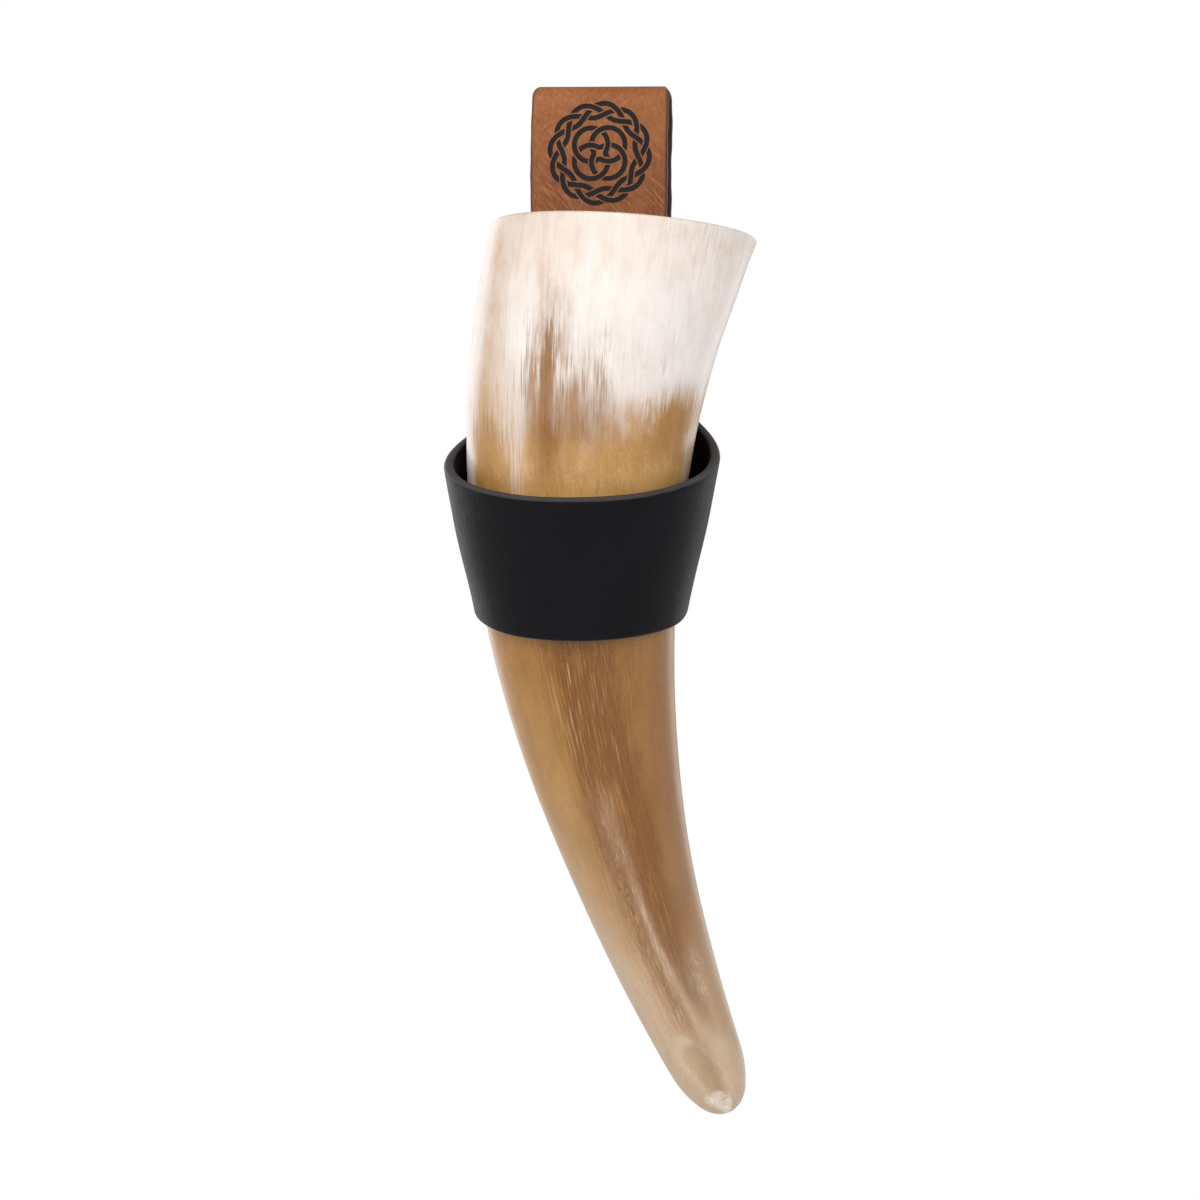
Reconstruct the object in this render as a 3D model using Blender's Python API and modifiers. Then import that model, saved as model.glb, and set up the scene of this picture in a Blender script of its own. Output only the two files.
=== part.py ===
# Drinking horn in a leather belt hanger.
#
# A hollow cattle horn stands, mouth up, in a conical collar rolled from one
# straight strip of thick leather.  The two ends of the collar butt behind the
# horn and are riveted to a folded strap, whose fold makes the loop that a
# waist belt runs through.
#
# Frame: metres, +Z up, +X to the right of someone facing the horn, +Y away
# from them, towards the wearer.  The origin is inside the top of the belt
# loop, at the middle of the strap's width.

import math

import bmesh
import bpy
from mathutils import Matrix, Vector

MM = 0.001

# ----------------------------------------------------------------- dimensions
# Strap (one folded strip of leather)
STRAP_WIDTH = 40.0          # mm
STRAP_THICK = 3.0
LOOP_GAP = 5.0              # clear depth of the belt loop
LOOP_HEIGHT = 52.0          # straight part of the back leaf, below the fold
LOOP_CLOSE = 24.0           # height over which the back leaf comes forward
STRAP_BOTTOM = -130.0       # z of both leaves' cut ends
FOLD_PINCH = 0.9            # the fold is this much narrower on each side
TOUCH = 0.3                 # gap kept between pieces that touch

# Collar (straight strip rolled on a cone whose point is below)
COLLAR_THICK = 3.0
CONE_HALF = math.radians(11.0)
STRIP_LOW = 124.4           # distance of the lower edge from the cone's point
STRIP_HIGH = 165.6          # and of the upper edge, both at the front
CONE_POINT_Z = -277.2
FLAT_DEPTH = 4.4            # how far the back is pressed flat on the strap
FLAT_SOFT = 0.9
DEPTH_STRETCH = 1.275       # collar is a little deeper than it is wide
WIDTH_LOW = 1.138           # sideways stretch at the lower edge
WIDTH_HIGH = 1.094          # and at the upper edge
COLLAR_X = -0.5
COLLAR_ROLL = math.radians(2.3)
SEAM_GAP = 0.7              # between the butted ends

# Rivets (two-piece, double cap), in two columns and two rows
RIVET_X = 10.0
RIVET_Z = (-89.0, -113.0)
HEAD_R = 4.3
HEAD_H = 1.5
CAP_H = 2.2
POST_R = 1.5
HOLE_R = 1.9
SOCKET_R = 1.85
SOCKET_DEPTH = 1.3

# Horn
HORN_LEAN = math.radians(8.0)     # mouth leans away from the strap
HORN_PLANE_Y = -58.0              # y of the leaning plane at z = 0
HORN_TOP_X = 22.4                 # centreline start, above the mouth
HORN_TOP_W = -27.0
HORN_RUN = 274.0                  # centreline length up to the last station
BEND = (-26.6, 75.9, -25.0)       # heading in degrees: a + b t + c t^2
RADII = (37.6, 35.9, 33.4, 30.4, 26.3, 21.8, 17.2, 13.5, 9.8)
TIP_RUN = 6.4                     # rounded end past the last station
TIP_START = 0.955                 # where the end begins to round off
MOUTH_W = -45.3                   # cut of the mouth, in the leaning plane
MOUTH_TILT_X = math.radians(-4.5)
MOUTH_TILT_N = math.radians(9.8)
WALL = 2.8                        # at the mouth
WALL_GROWTH = 4.2                 # extra wall at the end of the hollow
HOLLOW_END = 0.66
HOLLOW_ROUND = 0.57
COLLAR_T = 0.46                   # station held by the collar

OBJECT_NAME = "drinking_horn"


# ------------------------------------------------------------------- helpers
def clear_scene():
    for obj in list(bpy.data.objects):
        bpy.data.objects.remove(obj, do_unlink=True)
    for block in (bpy.data.meshes, bpy.data.curves, bpy.data.materials):
        for item in list(block):
            if item.users == 0:
                block.remove(item)


def collection(name):
    col = bpy.data.collections.get(name) or bpy.data.collections.new(name)
    if col.name not in bpy.context.scene.collection.children:
        bpy.context.scene.collection.children.link(col)
    return col


def move_to(obj, col):
    for old in list(obj.users_collection):
        old.objects.unlink(obj)
    col.objects.link(obj)


def material(name, colour, roughness, metallic=0.0):
    mat = bpy.data.materials.new(name)
    mat.use_nodes = True
    bsdf = mat.node_tree.nodes["Principled BSDF"]
    bsdf.inputs["Base Color"].default_value = (*colour, 1.0)
    bsdf.inputs["Roughness"].default_value = roughness
    bsdf.inputs["Metallic"].default_value = metallic
    return mat


def give(obj, mat):
    obj.data.materials.clear()
    obj.data.materials.append(mat)


def smooth(obj, angle=35.0):
    obj.data.shade_smooth()
    obj.data.set_sharp_from_angle(angle=math.radians(angle))


def curve_to_mesh(curve_obj, name):
    """Turn a bevelled curve into a welded mesh object in the same place."""
    bpy.context.view_layer.update()
    graph = bpy.context.evaluated_depsgraph_get()
    mesh = bpy.data.meshes.new_from_object(curve_obj.evaluated_get(graph))
    mesh.name = name
    bm = bmesh.new()
    bm.from_mesh(mesh)
    bmesh.ops.remove_doubles(bm, verts=bm.verts, dist=0.00001)
    bmesh.ops.recalc_face_normals(bm, faces=bm.faces)
    bm.to_mesh(mesh)
    bm.free()
    obj = bpy.data.objects.new(name, mesh)
    obj.matrix_world = curve_obj.matrix_world.copy()
    bpy.data.objects.remove(curve_obj, do_unlink=True)
    return obj


def tapered_tube(name, points, radii, resolution):
    """Round tube along points, with its own radius at every point."""
    data = bpy.data.curves.new(name + "_curve", "CURVE")
    data.dimensions = "3D"
    data.bevel_depth = 1.0
    data.bevel_resolution = resolution
    data.use_fill_caps = True
    spline = data.splines.new("POLY")
    spline.points.add(len(points) - 1)
    for knot, point, radius in zip(spline.points, points, radii):
        knot.co = (*point, 1.0)
        knot.radius = radius
    curve_obj = bpy.data.objects.new(name + "_curve", data)
    bpy.context.scene.collection.objects.link(curve_obj)
    return curve_to_mesh(curve_obj, name)


def as_cutter(obj):
    obj.hide_render = True
    obj.display_type = "WIRE"
    move_to(obj, CUTTERS)
    return obj


def cut(obj, cutter):
    mod = obj.modifiers.new("cut_" + cutter.name, "BOOLEAN")
    mod.operation = "DIFFERENCE"
    mod.solver = "EXACT"
    mod.object = cutter


def turned(name, profile, steps):
    """Turned solid about Z from an outer profile that runs top to bottom."""
    mesh = bpy.data.meshes.new(name)
    mesh.from_pydata([(r * MM, 0.0, z * MM) for r, z in profile],
                     [(i, i + 1) for i in range(len(profile) - 1)], [])
    obj = bpy.data.objects.new(name, mesh)
    PARTS.objects.link(obj)
    mod = obj.modifiers.new("turn", "SCREW")
    mod.axis = "Z"
    mod.steps = steps
    mod.render_steps = steps
    mod.use_merge_vertices = True
    mod.merge_threshold = 0.00001
    return obj


# ----------------------------------------------------------- horn centreline
LEAN_U = Vector((1.0, 0.0, 0.0))
LEAN_W = Vector((0.0, -math.sin(HORN_LEAN), math.cos(HORN_LEAN)))
LEAN_N = LEAN_U.cross(LEAN_W)              # towards the viewer


def heading(t):
    return math.radians(BEND[0] + BEND[1] * t + BEND[2] * t * t)


def plane_point(u, w, n=0.0):
    """Point of the leaning plane, in mm."""
    return (Vector((0.0, HORN_PLANE_Y, 0.0)) + LEAN_U * u + LEAN_W * w
            + LEAN_N * n)


def centre_uw(s, slices=400):
    """Centreline point at run s, by walking along the heading."""
    u, w = HORN_TOP_X, HORN_TOP_W
    step = s / slices
    for i in range(slices):
        a = heading((i + 0.5) * step / HORN_RUN)
        u += math.sin(a) * step
        w -= math.cos(a) * step
    return u, w


def smooth_through(values, t):
    """Smooth curve through evenly spaced values, t from 0 to 1."""
    last = len(values) - 1
    x = max(0.0, min(float(last), t * last))
    i = min(int(x), last - 1)
    f = x - i
    p1, p2 = values[i], values[i + 1]
    p0 = values[i - 1] if i > 0 else 2 * p1 - p2
    p3 = values[i + 2] if i + 2 <= last else 2 * p2 - p1
    return 0.5 * (2 * p1 + (p2 - p0) * f
                  + (2 * p0 - 5 * p1 + 4 * p2 - p3) * f * f
                  + (3 * p1 - p0 - 3 * p2 + p3) * f ** 3)


def outer_radius(s):
    t = s / HORN_RUN
    start = TIP_START * HORN_RUN
    end = HORN_RUN + TIP_RUN
    base = smooth_through(RADII, min(t, 1.0))
    if s <= start:
        return base
    k = min(1.0, (s - start) / (end - start))
    return base * math.sqrt(max(0.0, 1.0 - k ** 2.6))


def inner_radius(t):
    wall = WALL + WALL_GROWTH * (t / HOLLOW_END) ** 2
    r = smooth_through(RADII, t) - wall
    if t > HOLLOW_ROUND:
        k = (t - HOLLOW_ROUND) / (HOLLOW_END - HOLLOW_ROUND)
        r *= math.sqrt(max(0.0, 1.0 - k * k))
    return r


# ---------------------------------------------------------------- the pieces
def make_horn(mat):
    end = HORN_RUN + TIP_RUN
    runs = [HORN_RUN * i / 25.0 for i in range(24)]
    start = TIP_START * HORN_RUN
    runs += [start + (end - start) * math.sin(0.5 * math.pi * i / 7.0) ** 0.8
             for i in range(7)]
    runs.append(start + (end - start) * 0.992)
    points = [plane_point(*centre_uw(s)) * MM for s in runs]
    radii = [max(outer_radius(s), 0.9) * MM for s in runs]
    horn = tapered_tube("horn", points, radii, 14)
    PARTS.objects.link(horn)
    give(horn, mat)

    # hollow, from above the mouth down to its rounded end
    spans = [HOLLOW_ROUND * i / 13.0 for i in range(14)]
    spans += [HOLLOW_ROUND + (HOLLOW_END - HOLLOW_ROUND)
              * math.sin(0.5 * math.pi * i / 5.0) for i in range(1, 5)]
    spans.append(HOLLOW_ROUND + (HOLLOW_END - HOLLOW_ROUND) * 0.992)
    hollow = tapered_tube(
        "horn_hollow",
        [plane_point(*centre_uw(t * HORN_RUN)) * MM for t in spans],
        [max(inner_radius(t), 1.0) * MM for t in spans], 14)
    as_cutter_link(hollow)

    # slanted cut of the mouth
    bpy.ops.mesh.primitive_cube_add(size=1.0)
    mouth = bpy.context.active_object
    mouth.name = "mouth_cut"
    size = 0.2
    across = (LEAN_U + LEAN_W * math.tan(MOUTH_TILT_X)).normalized()
    front = (LEAN_N + LEAN_W * math.tan(MOUTH_TILT_N)).normalized()
    normal = across.cross(front).normalized()
    if normal.dot(LEAN_W) < 0:
        normal = -normal
    front = normal.cross(across).normalized()
    base = plane_point(0.0, MOUTH_W) * MM
    basis = Matrix((across, front, normal)).transposed().to_4x4()
    for v in mouth.data.vertices:
        v.co = v.co * size
    mouth.matrix_world = (Matrix.Translation(base + normal * (size / 2))
                          @ basis)
    as_cutter(mouth)

    cut(horn, hollow)
    cut(horn, mouth)
    smooth(horn, 50.0)

    # the horn is drawn up and out along its own bend
    u, w = centre_uw(COLLAR_T * HORN_RUN)
    a = heading(COLLAR_T)
    radius = bend_radius()
    pivot = plane_point(u + radius * math.cos(a), w + radius * math.sin(a))
    empty = bpy.data.objects.new("horn_lift_axis", None)
    empty.empty_display_size = 0.02
    empty.location = pivot * MM
    PARTS.objects.link(empty)
    bpy.context.view_layer.update()
    horn.parent = empty
    horn.matrix_parent_inverse = empty.matrix_world.inverted()
    return horn


def bend_radius():
    """Radius of the centreline where the collar holds the horn, in mm."""
    rate = math.radians(BEND[1] + 2.0 * BEND[2] * COLLAR_T) / HORN_RUN
    return 1.0 / rate


def as_cutter_link(obj):
    CUTTERS.objects.link(obj)
    obj.hide_render = True
    obj.display_type = "WIRE"


def inner_back_y():
    """y of the collar's inner face where it lies flat on the strap."""
    return -(LOOP_GAP / 2 + STRAP_THICK + TOUCH + COLLAR_THICK)


def collar_point(across, up):
    """Inner face of the collar: across -1..1 end to end, up 0..1."""
    sb, cb = math.sin(CONE_HALF), math.cos(CONE_HALF)
    back = inner_back_y()
    point = Vector((0.0, back + FLAT_DEPTH, CONE_POINT_Z))
    axis = Vector((0.0, -sb, cb))
    front = Vector((0.0, -cb, -sb))
    side = Vector((1.0, 0.0, 0.0))

    edge = STRIP_LOW + (STRIP_HIGH - STRIP_LOW) * up
    rho_back = edge / math.cos(math.pi * sb)
    stop = math.pi - 0.5 * SEAM_GAP / (rho_back * sb)
    phi = across * stop
    rho = edge / math.cos(phi * sb)
    p = point + rho * (cb * axis + sb * (math.cos(phi) * front
                                         + math.sin(phi) * side))
    # a little deeper than round, and pressed flat at the back
    p.x = COLLAR_X + p.x * (WIDTH_LOW + (WIDTH_HIGH - WIDTH_LOW) * up)
    p.y = point.y + (p.y - point.y) * DEPTH_STRETCH
    d = p.y - back
    p.y = back - 0.5 * (math.sqrt(d * d + FLAT_SOFT * FLAT_SOFT) - d)
    # small turn in its own plane
    mid = point + 0.5 * (STRIP_LOW + STRIP_HIGH) * cb * axis
    dx, dz = p.x - mid.x, p.z - mid.z
    c, s = math.cos(COLLAR_ROLL), math.sin(COLLAR_ROLL)
    p.x, p.z = mid.x + c * dx + s * dz, mid.z - s * dx + c * dz
    return p


def make_collar(mat):
    bpy.ops.mesh.primitive_grid_add(x_subdivisions=56, y_subdivisions=3,
                                    size=2.0)
    collar = bpy.context.active_object
    collar.name = "collar"
    for v in collar.data.vertices:
        v.co = collar_point(v.co.x, 0.5 * (v.co.y + 1.0)) * MM
    move_to(collar, PARTS)
    shell = collar.modifiers.new("thickness", "SOLIDIFY")
    shell.thickness = COLLAR_THICK * MM
    shell.offset = 1.0
    shell.use_even_offset = True
    edge = collar.modifiers.new("worn_edges", "BEVEL")
    edge.width = 0.7 * MM
    edge.segments = 1
    edge.limit_method = "ANGLE"
    edge.angle_limit = math.radians(50.0)
    give(collar, mat)
    smooth(collar)
    return collar


def strap_path():
    """Middle line of the folded strip in (y, z), front end to back end."""
    mid = LOOP_GAP / 2 + STRAP_THICK / 2
    top = -LOOP_GAP / 2
    path = []
    for i in range(7):
        path.append((-mid, STRAP_BOTTOM + (top - STRAP_BOTTOM) * i / 6.0))
    for i in range(1, 12):
        a = math.pi * (1.0 - i / 12.0)
        path.append((mid * math.cos(a), top + mid * math.sin(a)))
    straight = top - LOOP_HEIGHT
    for i in range(3):
        path.append((mid, top - LOOP_HEIGHT * i / 2.0))
    near = -mid + STRAP_THICK + TOUCH
    for i in range(1, 9):
        k = i / 8.0
        ease = k * k * (3.0 - 2.0 * k)
        path.append((mid + (near - mid) * ease, straight - LOOP_CLOSE * k))
    low = straight - LOOP_CLOSE
    for i in range(1, 5):
        path.append((near, low + (STRAP_BOTTOM - low) * i / 4.0))
    return path


def strap_half(z):
    """Half width of the strip: the fold is drawn in a little at its top."""
    top = STRAP_THICK / 2
    rise = max(0.0, 1.0 - (top - z) / 4.0)
    return STRAP_WIDTH / 2 - FOLD_PINCH * rise * rise


def make_strap(mat):
    path = strap_path()
    bpy.ops.mesh.primitive_grid_add(x_subdivisions=2,
                                    y_subdivisions=len(path) - 1, size=2.0)
    strap = bpy.context.active_object
    strap.name = "belt_strap"
    for v in strap.data.vertices:
        i = round(0.5 * (v.co.y + 1.0) * (len(path) - 1))
        y, z = path[i]
        v.co = Vector((v.co.x * strap_half(z), y, z)) * MM
    move_to(strap, PARTS)
    shell = strap.modifiers.new("thickness", "SOLIDIFY")
    shell.thickness = STRAP_THICK * MM
    shell.offset = 0.0
    shell.use_even_offset = True
    edge = strap.modifiers.new("worn_edges", "BEVEL")
    edge.width = 0.5 * MM
    edge.segments = 1
    edge.limit_method = "ANGLE"
    edge.angle_limit = math.radians(50.0)
    give(strap, mat)
    smooth(strap)
    return strap


def rivet_places():
    return [(x, z) for z in RIVET_Z for x in (-RIVET_X, RIVET_X)]


def face_y():
    """y of the collar's inner face and of the back leaf's rear face."""
    back_leaf = -LOOP_GAP / 2 + TOUCH + STRAP_THICK
    return inner_back_y(), back_leaf


def dome(radius, rim, height, steps=5):
    """Outer profile of a low dome, from its top down to its rim."""
    rise = height - rim
    out = []
    for i in range(steps + 1):
        a = 0.5 * math.pi * i / steps
        out.append((radius * math.sin(a), rim + rise * math.cos(a)))
    return out


def make_rivets(mat_cap, mat_post, targets):
    inside, rear = face_y()
    reach = rear - inside
    for i, (x, z) in enumerate(rivet_places(), start=1):
        # post with its head, the head's dome inside the collar
        head = [(r, h + TOUCH + 0.25) for r, h in dome(HEAD_R, 0.35, HEAD_H)]
        tip = -(reach + TOUCH + SOCKET_DEPTH - TOUCH)
        post = turned("rivet_post_%d" % i,
                      head + [(HEAD_R, TOUCH + 0.25), (POST_R, TOUCH + 0.25),
                              (POST_R, tip + 0.3), (POST_R - 0.3, tip),
                              (0.0, tip)], 20)
        post.location = (x * MM, inside * MM, z * MM)
        post.rotation_euler = (math.radians(90.0), 0.0, 0.0)
        give(post, mat_post)
        smooth(post)

        # cap pressed on the post's end, behind the strap
        shell = dome(HEAD_R, 0.45, CAP_H)
        cap = turned("rivet_cap_%d" % i,
                     shell + [(HEAD_R, 0.0), (SOCKET_R, 0.0),
                              (SOCKET_R, SOCKET_DEPTH),
                              (0.0, SOCKET_DEPTH)], 20)
        cap.location = (x * MM, (rear + TOUCH) * MM, z * MM)
        cap.rotation_euler = (math.radians(-90.0), 0.0, 0.0)
        give(cap, mat_cap)
        smooth(cap)

        # clearance hole through the collar and both leaves
        bpy.ops.mesh.primitive_cylinder_add(
            vertices=20, radius=HOLE_R * MM, depth=40.0 * MM,
            location=(x * MM, 0.5 * (inside + rear) * MM, z * MM),
            rotation=(math.radians(90.0), 0.0, 0.0))
        hole = bpy.context.active_object
        hole.name = "rivet_hole_%d" % i
        as_cutter(hole)
        for target in targets:
            cut(target, hole)


# ---------------------------------------------------------------------- build
clear_scene()
PARTS = collection(OBJECT_NAME)
CUTTERS = collection(OBJECT_NAME + "_cutters")

HORN_MAT = material("polished_horn", (0.62, 0.42, 0.24), 0.32)
COLLAR_MAT = material("black_leather", (0.018, 0.017, 0.019), 0.45)
STRAP_MAT = material("tan_leather", (0.42, 0.18, 0.08), 0.5)
CAP_MAT = material("dark_metal", (0.12, 0.12, 0.13), 0.35, 1.0)
POST_MAT = material("bright_metal", (0.45, 0.43, 0.40), 0.3, 1.0)

make_horn(HORN_MAT)
collar_obj = make_collar(COLLAR_MAT)
strap_obj = make_strap(STRAP_MAT)
make_rivets(CAP_MAT, POST_MAT, (collar_obj, strap_obj))
bpy.context.view_layer.update()
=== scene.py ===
# Looks of the drinking horn in its leather belt hanger.
#
# Every mesh is in metres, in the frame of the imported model: +Z up, +X to the
# right of someone facing the horn, +Y towards the wearer.  The horn, the
# collar, the strap and the rivets are modelled finely here, each in the place
# of its plain solid.

import math

import bmesh
import bpy
import numpy as np
from mathutils import Matrix, Vector


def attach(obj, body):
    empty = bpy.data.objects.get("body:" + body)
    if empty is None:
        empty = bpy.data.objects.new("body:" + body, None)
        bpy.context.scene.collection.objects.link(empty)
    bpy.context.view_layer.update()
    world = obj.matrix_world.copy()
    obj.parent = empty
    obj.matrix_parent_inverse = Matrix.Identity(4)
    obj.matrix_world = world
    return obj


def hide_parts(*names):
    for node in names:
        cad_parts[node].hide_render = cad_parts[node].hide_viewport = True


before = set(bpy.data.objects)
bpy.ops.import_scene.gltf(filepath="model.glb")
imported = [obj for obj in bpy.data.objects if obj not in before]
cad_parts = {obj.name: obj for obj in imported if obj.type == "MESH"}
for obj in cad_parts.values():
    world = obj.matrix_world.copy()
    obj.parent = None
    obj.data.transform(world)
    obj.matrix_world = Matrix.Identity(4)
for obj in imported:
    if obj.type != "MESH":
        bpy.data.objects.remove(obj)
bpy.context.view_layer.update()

MM = 0.001
SCENE = bpy.context.scene

# ---------------------------------------------------------------- dimensions
# They repeat the solids' own numbers, in mm.
STRAP_WIDTH, STRAP_THICK = 40.0, 3.0
LOOP_GAP, LOOP_HEIGHT, LOOP_CLOSE = 5.0, 52.0, 24.0
STRAP_BOTTOM, FOLD_PINCH, TOUCH, END_ROUND = -130.0, 0.9, 0.3, 5.0

COLLAR_THICK, CONE_HALF = 3.0, math.radians(11.0)
STRIP_LOW, STRIP_HIGH, CONE_POINT_Z = 124.4, 165.6, -277.2
FLAT_DEPTH, FLAT_SOFT, DEPTH_STRETCH = 4.4, 0.9, 1.275
WIDTH_LOW, WIDTH_HIGH = 1.138, 1.094
COLLAR_X, COLLAR_ROLL, SEAM_GAP = -0.5, math.radians(2.3), 0.7

RIVET_X, RIVET_Z = 10.0, (-89.0, -113.0)
HEAD_R, HEAD_H, CAP_H = 4.3, 1.5, 2.2
POST_R, HOLE_R, SOCKET_R, SOCKET_DEPTH = 1.5, 1.9, 1.85, 1.3

HORN_LEAN, HORN_PLANE_Y = math.radians(8.0), -58.0
HORN_TOP_X, HORN_TOP_W, HORN_RUN = 22.4, -27.0, 274.0
BEND = (-26.6, 75.9, -25.0)
RADII = (37.6, 35.9, 33.4, 30.4, 26.3, 21.8, 17.2, 13.5, 9.8)
TIP_RUN, TIP_START = 6.4, 0.955
MOUTH_W = -45.3
MOUTH_TILT_X, MOUTH_TILT_N = math.radians(-4.5), math.radians(9.8)
WALL, WALL_GROWTH = 2.8, 4.2
HOLLOW_END, HOLLOW_ROUND = 0.66, 0.57


# ------------------------------------------------------------------- helpers
def srgb(r, g, b):
    """Display colour 0..255 as linear RGBA."""
    def one(c):
        c = c / 255.0
        return c / 12.92 if c <= 0.04045 else ((c + 0.055) / 1.055) ** 2.4
    return (one(r), one(g), one(b), 1.0)


def step(x, low, high):
    """Smooth step of x from low to high, for numbers or arrays."""
    k = np.clip((x - low) / (high - low), 0.0, 1.0)
    return k * k * (3.0 - 2.0 * k)


def hill(x, width):
    return np.exp(-(x / width) ** 2)


def turn(a):
    """Angle in degrees brought to -180..180."""
    return (a + 180.0) % 360.0 - 180.0


def around(phi, anchors):
    """Smooth periodic curve through (angle, value) anchors, in degrees."""
    angles = np.array([a for a, _ in anchors], float)
    values = np.array([v for _, v in anchors], float)
    angles = np.concatenate([[angles[-1] - 360.0], angles, [angles[0] + 360.0]])
    values = np.concatenate([[values[-1]], values, [values[0]]])
    p = turn(phi)
    i = np.clip(np.searchsorted(angles, p, side="right") - 1, 0, len(angles) - 2)
    k = (p - angles[i]) / (angles[i + 1] - angles[i])
    k = k * k * (3.0 - 2.0 * k)
    return values[i] + (values[i + 1] - values[i]) * k


def new_object(name, verts, faces, smooth_angle=40.0):
    """Mesh object from points in mm."""
    mesh = bpy.data.meshes.new(name)
    mesh.from_pydata([tuple(float(c) * MM for c in v) for v in verts], [],
                     [tuple(int(i) for i in f) for f in faces])
    mesh.validate()
    mesh.update()
    obj = bpy.data.objects.new(name, mesh)
    SCENE.collection.objects.link(obj)
    shade(obj, smooth_angle)
    return obj


def shade(obj, angle):
    obj.data.shade_smooth()
    obj.data.set_sharp_from_angle(angle=math.radians(angle))


def outward(obj):
    """Faces of a closed mesh turned outwards."""
    bm = bmesh.new()
    bm.from_mesh(obj.data)
    bmesh.ops.recalc_face_normals(bm, faces=bm.faces)
    bm.to_mesh(obj.data)
    bm.free()


def put(obj, name, values):
    """Named attribute on the mesh's points, one number or vector each."""
    values = np.asarray(values, np.float32)
    if values.ndim == 1:
        layer = obj.data.attributes.new(name, "FLOAT", "POINT")
        layer.data.foreach_set("value", values)
    else:
        layer = obj.data.attributes.new(name, "FLOAT_VECTOR", "POINT")
        layer.data.foreach_set("vector", values.ravel())


def points_mm(obj):
    co = np.zeros(len(obj.data.vertices) * 3, np.float32)
    obj.data.vertices.foreach_get("co", co)
    return co.reshape(-1, 3).astype(float) / MM


def cut(obj, cutters, smooth_angle=40.0):
    """Difference with closed cutters, which are then removed."""
    for cutter in cutters:
        mod = obj.modifiers.new("cut", "BOOLEAN")
        mod.operation = "DIFFERENCE"
        mod.solver = "MANIFOLD"
        mod.object = cutter
    bpy.context.view_layer.update()
    graph = bpy.context.evaluated_depsgraph_get()
    mesh = bpy.data.meshes.new_from_object(obj.evaluated_get(graph))
    old = obj.data
    obj.modifiers.clear()
    obj.data = mesh
    bpy.data.meshes.remove(old)
    mesh.name = obj.name
    for cutter in cutters:
        data = cutter.data
        bpy.data.objects.remove(cutter, do_unlink=True)
        bpy.data.meshes.remove(data)
    shade(obj, smooth_angle)


class Look:
    """A node material, with short names for the nodes it is made of."""

    def __init__(self, name):
        self.mat = bpy.data.materials.new(name)
        self.mat.use_nodes = True
        self.tree = self.mat.node_tree
        self.bsdf = self.tree.nodes["Principled BSDF"]

    def node(self, kind):
        return self.tree.nodes.new(kind)

    def plug(self, socket, value):
        if isinstance(value, bpy.types.NodeSocket):
            self.tree.links.new(value, socket)
        else:
            socket.default_value = value

    def set(self, name, value):
        self.plug(self.bsdf.inputs[name], value)

    def attr(self, name, vector=False):
        n = self.node("ShaderNodeAttribute")
        n.attribute_name = name
        return n.outputs["Vector" if vector else "Fac"]

    def place(self):
        return self.node("ShaderNodeTexCoord").outputs["Object"]

    def mapped(self, vector, scale, turn_deg=(0, 0, 0), shift=(0, 0, 0)):
        n = self.node("ShaderNodeMapping")
        self.plug(n.inputs["Vector"], vector)
        n.inputs["Scale"].default_value = scale
        n.inputs["Rotation"].default_value = [math.radians(a) for a in turn_deg]
        n.inputs["Location"].default_value = shift
        return n.outputs["Vector"]

    def noise(self, vector, scale=1.0, detail=2.0, rough=0.5, warp=0.0):
        n = self.node("ShaderNodeTexNoise")
        self.plug(n.inputs["Vector"], vector)
        n.inputs["Scale"].default_value = scale
        n.inputs["Detail"].default_value = detail
        n.inputs["Roughness"].default_value = rough
        n.inputs["Distortion"].default_value = warp
        return n.outputs["Fac"]

    def cells(self, vector, scale, feature="F1", jitter=1.0):
        n = self.node("ShaderNodeTexVoronoi")
        n.feature = feature
        self.plug(n.inputs["Vector"], vector)
        n.inputs["Scale"].default_value = scale
        n.inputs["Randomness"].default_value = jitter
        return n.outputs["Distance"]

    def calc(self, op, a, b=0.0, clamp=False):
        n = self.node("ShaderNodeMath")
        n.operation = op
        n.use_clamp = clamp
        self.plug(n.inputs[0], a)
        self.plug(n.inputs[1], b)
        return n.outputs[0]

    def add(self, *terms):
        out = terms[0]
        for t in terms[1:]:
            out = self.calc("ADD", out, t)
        return out

    def times(self, a, b):
        return self.calc("MULTIPLY", a, b)

    def off(self, noise, amount):
        """Noise of 0..1 as a swing about zero."""
        return self.times(self.calc("SUBTRACT", noise, 0.5), amount)

    def ease(self, value, low, high, out_low=0.0, out_high=1.0):
        n = self.node("ShaderNodeMapRange")
        n.interpolation_type = "SMOOTHSTEP"
        self.plug(n.inputs["Value"], value)
        n.inputs["From Min"].default_value = low
        n.inputs["From Max"].default_value = high
        n.inputs["To Min"].default_value = out_low
        n.inputs["To Max"].default_value = out_high
        return n.outputs["Result"]

    def mix(self, fac, a, b, mode="MIX"):
        n = self.node("ShaderNodeMix")
        n.data_type = "RGBA"
        n.blend_type = mode
        n.clamp_factor = True
        self.plug(n.inputs[0], fac)
        self.plug(n.inputs[6], a)
        self.plug(n.inputs[7], b)
        return n.outputs[2]

    def ramp(self, fac, stops):
        n = self.node("ShaderNodeValToRGB")
        self.plug(n.inputs["Fac"], fac)
        ramp = n.color_ramp
        while len(ramp.elements) < len(stops):
            ramp.elements.new(0.5)
        for e, (at, colour) in zip(ramp.elements, stops):
            e.position = at
            e.color = colour
        return n.outputs["Color"]

    def split(self, vector):
        n = self.node("ShaderNodeSeparateXYZ")
        self.plug(n.inputs[0], vector)
        return n.outputs

    def bump(self, height, strength, distance, before=None):
        n = self.node("ShaderNodeBump")
        n.inputs["Strength"].default_value = strength
        n.inputs["Distance"].default_value = distance
        self.plug(n.inputs["Height"], height)
        if before is not None:
            self.plug(n.inputs["Normal"], before)
        return n.outputs["Normal"]


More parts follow.
